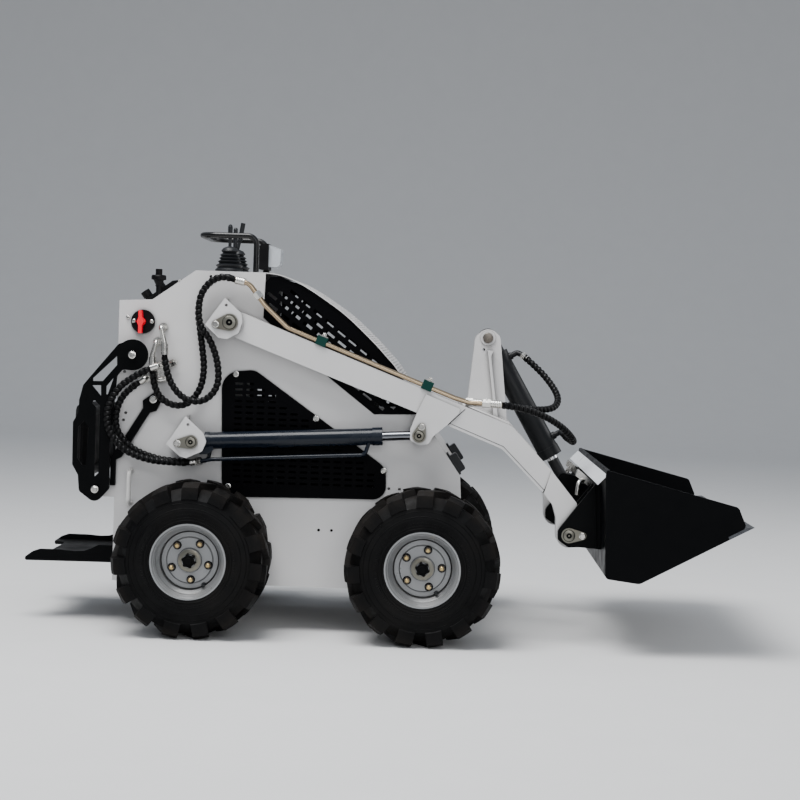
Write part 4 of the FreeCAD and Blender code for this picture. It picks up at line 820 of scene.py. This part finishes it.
CHASSIS_BOLTS = (
    # place on the left side, half width of the head, washer radius
    ((100, 294, 778), 6.5, 9.0), ((347, 294, 651), 6.5, 9.0), ((557, 294, 500), 6.5, 9.0),
    ((86, 294, 437), 6.5, 9.0), ((-210, 333, 826), 8.2, 11.4), ((-312, 333, 417), 8.2, 11.4),
    ((-147, 304, 693), 8.2, 11.4), ((-233, 290, 939), 4.0, 6.0))


def chassis_bolts():
    """Bolts of the panels, the guard and the struts, and the screws of the isolator, lamp and deck."""
    form = Gathered()
    for (x, y, z), size, washer in CHASSIS_BOLTS:
        for side in (1, -1):
            form.bolt(at(x, side * y, z), (0, side, 0), size, 0, washer)
    for x in (-213, -159):
        form.lathe(at(x, -301.8, 928), (0, -1, 0), [(6.2, -2.6), (6.2, 0.2), (4.6, 1.8), (1.5, 2.2)], 20)
    for y in (-20, 20):
        form.bolt(at(170, y, 1091), (0, 0, 1), 5.0, 0, 7.5)
    form.bolt(at(-79, -286, 1054), (-0.58, 0, 0.81), 4.0, 0, 6.0)
    form.piece("chassis_bolts", ZINC, "chassis")


chassis_bolts()


def round_tops():
    """Round ends of the guard plates, pin ends of the tower, and black discs of painted shade for the small
    holes of the side plates.
    """
    guard, pins, holes = (Gathered() for _ in range(3))
    for side in (1, -1):
        out = (0, side, 0)
        guard.lathe(at(-210, side * 315.7, 826), out, [(46.4, 0), (46.8, 0.4), (46.8, 8.2), (46.4, 8.6)], 72)
        pins.lathe(at(864, side * 60.0, 912), out, [(15.9, 0), (15.9, 4.5), (15.0, 5.1)], 32)
        # Black discs over the small holes: painted shade.
        holes.lathe(at(365, side * 289.8, 313), out, [(4.5, 0), (4.5, 0.5), (4.2, 0.6)], 16)
    guard.piece("guard_ends", BLACK_PAINT, "chassis")
    pins.piece("tower_pin_ends", PIN_STEEL, "arms")
    holes.piece("side_hole_shade", CAST, "chassis")


round_tops()


def valve_nipples():
    """Turned nipples and a hexagon on the fittings behind the pivot bracket."""
    form = Gathered()
    start, end = at(-112, -302, 794), at(-84, -309, 806)
    run = end - start
    form.lathe(start, run, [(7.4, -4), (7.4, 14), (9.0, 15), (9.0, 19), (7.6, 20)])
    form.lathe(start + run * 0.52, run, [(11.0, 0), (12.2, 1.2), (12.2, 15.5), (11.0, 16.5)], 6)
    form.lathe(start + run * 1.05, run, [(9.4, 0), (9.4, 3.0), (8.0, 4.2)], 20)
    start, end = at(-140, -304, 750), at(-106, -304, 757)
    form.lathe(start, end - start, [(6.4, 0), (7.4, 1), (7.4, 12), (8.6, 13), (8.6, 24), (7.4, 25),
                                    (7.4, 32), (6.0, 33)])
    form.piece("valve_nipples", ZINC, "chassis")


valve_nipples()


# The slope of the arm's pipes, and a point of the line that the clamps stand on
PIPE_SLOPE = math.radians(20.86)
PIPE_START = (118, 963.5)
CLAMPS = (355, 676)
STRIP_CORNERS = ((-14, -353), (14, -353), (14, -312), (-14, -312))


def clamp_tops():
    """Zinc cover strip and bolt on top of each pipe clamp."""
    up = Vector((math.sin(PIPE_SLOPE), 0, math.cos(PIPE_SLOPE)))
    along = Vector((math.cos(PIPE_SLOPE), 0, -math.sin(PIPE_SLOPE)))
    middle = Vector((0, -0.3325, 0))
    form = Gathered()
    for x in CLAMPS:
        foot = at(x, 0, PIPE_START[1] - (x - PIPE_START[0]) * math.tan(PIPE_SLOPE)) + up * 0.028
        form.sweep([[foot + along * a / 1000 + up * h / 1000 + Vector((0, y / 1000, 0))
                     for a, y in STRIP_CORNERS] for h in (0.2, 3.0)])
        form.bolt(foot + up * 0.003 + middle, up, 5.6, 5.0, 8.0)
        form.lathe(foot + up * 0.008 + middle, up, [(3.6, 0), (3.6, 4.5), (2.8, 5.2)], 16)
    form.piece("clamp_tops", ZINC, "arms")


clamp_tops()

PIPE_NUTS = (
    # start, end, half width across the flats, 6 for a hexagon or 24 for a round sleeve
    ((846, 716.4), (872, 715.6), 11.6, 6, -345), ((872, 715.6), (904.5, 714.1), 11.4, 24, -345),
    ((796, 717.2), (820, 716.8), 11.6, 6, -320), ((820, 716.8), (846, 716.1), 11.4, 24, -320),
    ((97.5, 1060), (124, 1054.6), 11.5, 24, -345), ((97.5, 1060), (124, 1054.6), 11.5, 24, -320),
    ((157, 1025.5), (171, 1007.5), 11.6, 6, -345), ((157, 1025.5), (171, 1007.5), 11.6, 6, -320))


def pipe_nuts():
    """Zinc sleeves and hexagon nuts where the hoses and pipes meet."""
    form = Gathered()
    for (x0, z0), (x1, z1), size, sides, y in PIPE_NUTS:
        a, b = at(x0, y, z0), at(x1, y, z1)
        length = (b - a).length * 1000
        reach = size / math.cos(math.pi / sides)
        if sides == 6:
            profile = [(reach - 1, 0), (reach, 1.2), (reach, length - 1.2), (reach - 1, length)]
        else:
            profile = [(reach - 0.5, 0), (reach, 0.8)]
            for k in range(4):
                step = length * (k + 1) / 5
                profile += [(reach, step - 1.2), (reach - 0.5, step), (reach, step + 1.2)]
            profile += [(reach, length - 0.8), (reach - 0.5, length)]
        form.lathe(a, b - a, profile, sides)
    form.piece("pipe_nuts", ZINC, "arms")
    form = Gathered()
    for y in (-341, -316):
        a, b = at(-24.3, y, 508), at(9, y, 513.2)
        form.lathe(a, b - a, [(9.8, 0), (10.3, 0.8), (10.3, 6), (9.8, 7), (10.3, 8), (10.3, 14), (9.8, 15),
                              (8.0, 15.2)])
        form.lathe(a + (b - a) * 0.46, b - a, [(11.0, 0), (12.0, 1.2), (12.0, 15.0), (11.0, 16.0)], 6)
    form.piece("lift_nuts", ZINC, "lift_barrel_right")
    form = Gathered()
    a, b = at(975, -12, 862), at(1024, -34, 822)
    form.lathe(a + (b - a) * 0.01, b - a, [(9.6, 0), (10.4, 0.8), (10.4, 18), (9.8, 19), (9.0, 19.2)])
    form.lathe(a - (b - a) * 0.02, b - a, [(11.6, 0), (12.6, 1.2), (12.6, 8.0), (11.6, 9.0)], 6)
    form.piece("tilt_nut", ZINC, "tilt_barrel")


pipe_nuts()


# Lamp

LAMP_Z = 1145
BOWL_RINGS = 8
BOWL_BACK = 160.6
BOWL_DEPTH = 13.0
BOWL_REACH = (40, 33)
BEZEL_OUTER = [(-50.5, 1104), (50.5, 1104), (50.5, 1186), (-50.5, 1186)]
BEZEL_INNER = [(-44.5, 1110), (44.5, 1110), (44.5, 1180), (-44.5, 1180)]
FIN = ((121.5, 1114), (121.5, 1176), (128, 1180), (128, 1110))


def lamp_details():
    """Bright bowl and bulb behind the lens, bezel round it and fins behind."""
    bowl = Gathered()
    rings = []
    for k in range(BOWL_RINGS):
        share = k / (BOWL_RINGS - 1)
        across, tall = (reach * share for reach in BOWL_REACH)
        depth = BOWL_BACK + BOWL_DEPTH * share ** 2
        rings.append([at(depth, across * math.cos(t), LAMP_Z + tall * math.sin(t))
                      for t in [2 * math.pi * i / 32 for i in range(32)]])
    bowl.sweep(rings)
    bowl.lathe(at(161, 0, LAMP_Z), (1, 0, 0), [(7, 0), (7, 6), (4.5, 10), (4.5, 14), (2, 16)], 20)
    bowl.piece("lamp_bowl", REFLECTOR, "chassis")
    bezel = Gathered()
    faces = []
    for k in range(4):
        n = (k + 1) % 4
        faces += [(k, n, 4 + n, 4 + k), (8 + k, 8 + n, 12 + n, 12 + k), (k, n, 8 + n, 8 + k),
                  (4 + k, 4 + n, 12 + n, 12 + k)]
    bezel.add([at(x, y, z) for x in (158.5, 164.0) for y, z in BEZEL_OUTER + BEZEL_INNER], faces)
    for y in range(-40, 41, 10):
        bezel.slab(FIN, y - 1.2, y + 1.2)
    bezel.piece("lamp_bezel", BLACK_PLASTIC, "chassis")


lamp_details()


# Weld beads, plate joints and lines of painted shadow

def welds():
    """Weld beads where plates meet, and thin black lines on the arms for a joint and for painted shadow, each
    on the body that carries it.
    """
    chassis, arms, coupler, joint_and_shadow_lines = (Gathered() for _ in range(4))
    for side in (1, -1):
        for (x0, z0), (x1, z1) in (((70, 1006), (11, 925)), ((11, 925), (53, 885)),
                                   ((-38, 650), (-96, 563)), ((-96, 563), (-52, 526))):
            chassis.bead([(x0, side * 290.5, z0), (x1, side * 290.5, z1)], 2.6)
        face = side * 349.2
        # Thin black lines on the arms' outer faces: the first marks a plate joint at the knee, the other two
        # are painted shadow along the arm's lower edge.
        joint_and_shadow_lines.bead([(747, face, 649), (796, face, 697)], 1.0, 0.0)
        joint_and_shadow_lines.bead([(1042, face, 461), (913.5, face, 589.5), (749, face, 654)], 0.7, 0.0)
        joint_and_shadow_lines.bead([(1036, face, 455), (1046, face, 476), (1061, face, 518)], 1.0, 0.0)
        for y in (44, 54):
            arms.bead([(806, side * y, 701.5), (931, side * y, 654.5)], 2.6)
        arms.bead([(796, side * 306, 704), (932, side * 306, 653)], 2.8)
        for y in (285, 295, 360, 370):
            coupler.bead([(1190, side * y, 484), (1190, side * y, 474), (1200, side * y, 300)], 2.4)
        for y in (25, 37):
            coupler.bead([(1190, side * y, 474), (1192, side * y, 400)], 2.4)
    chassis.piece("chassis_welds", WHITE_PAINT, "chassis", 80.0)
    arms.piece("arm_welds", WHITE_PAINT, "arms", 80.0)
    coupler.piece("coupler_welds", BLACK_PAINT, "coupler", 80.0)
    joint_and_shadow_lines.piece("arm_joint_and_shadow_lines", BLACK_PLASTIC, "arms", 80.0)


welds()


# Thigh pad

PAD_LOW = at(-396, -236, 454)
PAD_HIGH = at(-361, 236, 676)
PAD_BACK = at(-360.2, 0, 0).x
PAD_MIDDLE_Z = 0.565
PAD_VOXEL = 0.006
PAD_REACH = 0.006
CLOTH_FRAMES = 20
PIPING_PATH = [(-378, 238, 452), (-378, 238, 678), (-378, -238, 678), (-378, -238, 452), (-378, 238, 452)]
PIPING_RADIUS = 0.0022
PIPING_STEPS = 24


def fill_pad(thing):
    """Blow the pad up by cloth pressure, no point further than its reach or through the plate behind."""
    before = [v.co.copy() for v in thing.data.vertices]
    cloth = thing.modifiers.new("fill", "CLOTH")
    cloth.settings.use_pressure = True
    cloth.settings.uniform_pressure_force = 4.0
    cloth.settings.effector_weights.gravity = 0.0
    cloth.point_cache.frame_start = 1
    cloth.point_cache.frame_end = CLOTH_FRAMES
    for number in range(1, CLOTH_FRAMES + 1):
        bpy.context.scene.frame_set(number)
    bpy.ops.object.modifier_apply(modifier="fill")
    bpy.context.scene.frame_set(1)
    for v, start in zip(thing.data.vertices, before):
        move = v.co - start
        if move.length > PAD_REACH:
            v.co = start + move.normalized() * PAD_REACH
        v.co.x = min(v.co.x, PAD_BACK)


def pad_piping():
    """Round seam that runs about the pad's rim."""
    rings = []
    for a, b in zip(PIPING_PATH, PIPING_PATH[1:]):
        for k in range(PIPING_STEPS):
            spot = at(*a).lerp(at(*b), k / PIPING_STEPS)
            out = Vector((0, spot.y, spot.z - PAD_MIDDLE_Z)).normalized()
            rings.append(ring_of(spot, Vector((1, 0, 0)), out, PIPING_RADIUS))
    seam = Gathered()
    seam.sweep(rings + rings[:1])
    seam.piece("pad_piping", PAD_VINYL, "chassis", 80.0)


def thigh_pad():
    """Stuffed vinyl pad, blown up a little by cloth pressure from a slightly smaller block."""
    data = bpy.data.meshes.new("pad")
    form = bmesh.new()
    bmesh.ops.create_cube(form, size=1.0)
    for v in form.verts:
        v.co = [low + (c + 0.5) * (high - low) for low, c, high in zip(PAD_LOW, v.co, PAD_HIGH)]
    bmesh.ops.bevel(form, geom=form.edges[:], offset=0.010, segments=3, affect="EDGES")
    form.to_mesh(data)
    form.free()
    thing = new_object("pad", data)
    bpy.context.view_layer.objects.active = thing
    thing.select_set(True)
    remesh = thing.modifiers.new("even", "REMESH")
    remesh.mode = "VOXEL"
    remesh.voxel_size = PAD_VOXEL
    bpy.ops.object.modifier_apply(modifier="even")
    fill_pad(thing)
    smooth = thing.modifiers.new("fine", "SUBSURF")
    smooth.levels = 1
    smooth.render_levels = 1
    bpy.ops.object.modifier_apply(modifier="fine")
    thing.data.shade_smooth()
    thing.data.materials.clear()
    thing.data.materials.append(PAD_VINYL)
    thing.select_set(False)
    pad_piping()
    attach(thing, "chassis")
    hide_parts("thigh_pad")


thigh_pad()


# Floor and light

FLOOR_HALF_WIDTH = 30.0
BACKDROP_Y = 9.0
BACKDROP_RADIUS = 5.0
BACKDROP_TOP = 16.0
LIGHTS = (
    # name, place and target in metres, size, power
    ("sky", (-1.2, -1.6, 5.5), (0, 0, 0.4), 3.4, 560.0),
    ("near_side", (1.5, -6.0, 2.6), (0, 0, 0.5), 3.0, 95.0),
    ("front", (5.0, 1.0, 2.5), (0, 0, 0.5), 3.0, 90.0))


def floor():
    """Plain pale floor that curves up into a backdrop behind the machine."""
    profile = [(-FLOOR_HALF_WIDTH, 0.0), (BACKDROP_Y, 0.0)]
    for k in range(1, 17):
        angle = math.pi / 2 * k / 16
        profile.append((BACKDROP_Y + BACKDROP_RADIUS * math.sin(angle),
                        BACKDROP_RADIUS * (1 - math.cos(angle))))
    profile.append((BACKDROP_Y + BACKDROP_RADIUS, BACKDROP_TOP))
    points = [(x, y, z) for y, z in profile for x in (-FLOOR_HALF_WIDTH, FLOOR_HALF_WIDTH)]
    faces = [(2 * k, 2 * k + 1, 2 * k + 3, 2 * k + 2) for k in range(len(profile) - 1)]
    data = bpy.data.meshes.new("floor")
    data.from_pydata(points, [], faces)
    data.shade_smooth()
    thing = new_object("floor", data)
    mat, tree, shader = new_material("pale_floor")
    tree.links.new(mix_colour(tree, noise(tree, 6.0), (0.58, 0.58, 0.58), (0.61, 0.61, 0.605)),
                   shader.inputs["Base Color"])
    set_inputs(shader, Roughness=0.85)
    data.materials.append(mat)


def lights():
    """Open sky look: a large light above, softer ones at the side and in front, a paler zenith."""
    for name, place, target, size, power in LIGHTS:
        data = bpy.data.lights.new(name, "AREA")
        data.size = size
        data.energy = power
        thing = new_object(name, data)
        thing.location = place
        thing.rotation_euler = (Vector(target) - Vector(place)).to_track_quat("-Z", "Y").to_euler()
    world = bpy.data.worlds.new("studio")
    world.use_nodes = True
    tree = world.node_tree
    place = tree.nodes.new("ShaderNodeTexCoord")
    height = spread(tree, axes_of(tree, place.outputs["Generated"])["Z"], 0.0, 1.0, 0.0, 0.8)
    background = tree.nodes["Background"]
    tree.links.new(mix_colour(tree, height, (0.34, 0.35, 0.37), (0.80, 0.86, 0.95)),
                   background.inputs["Color"])
    set_inputs(background, Strength=0.70)
    bpy.context.scene.world = world


floor()
lights()
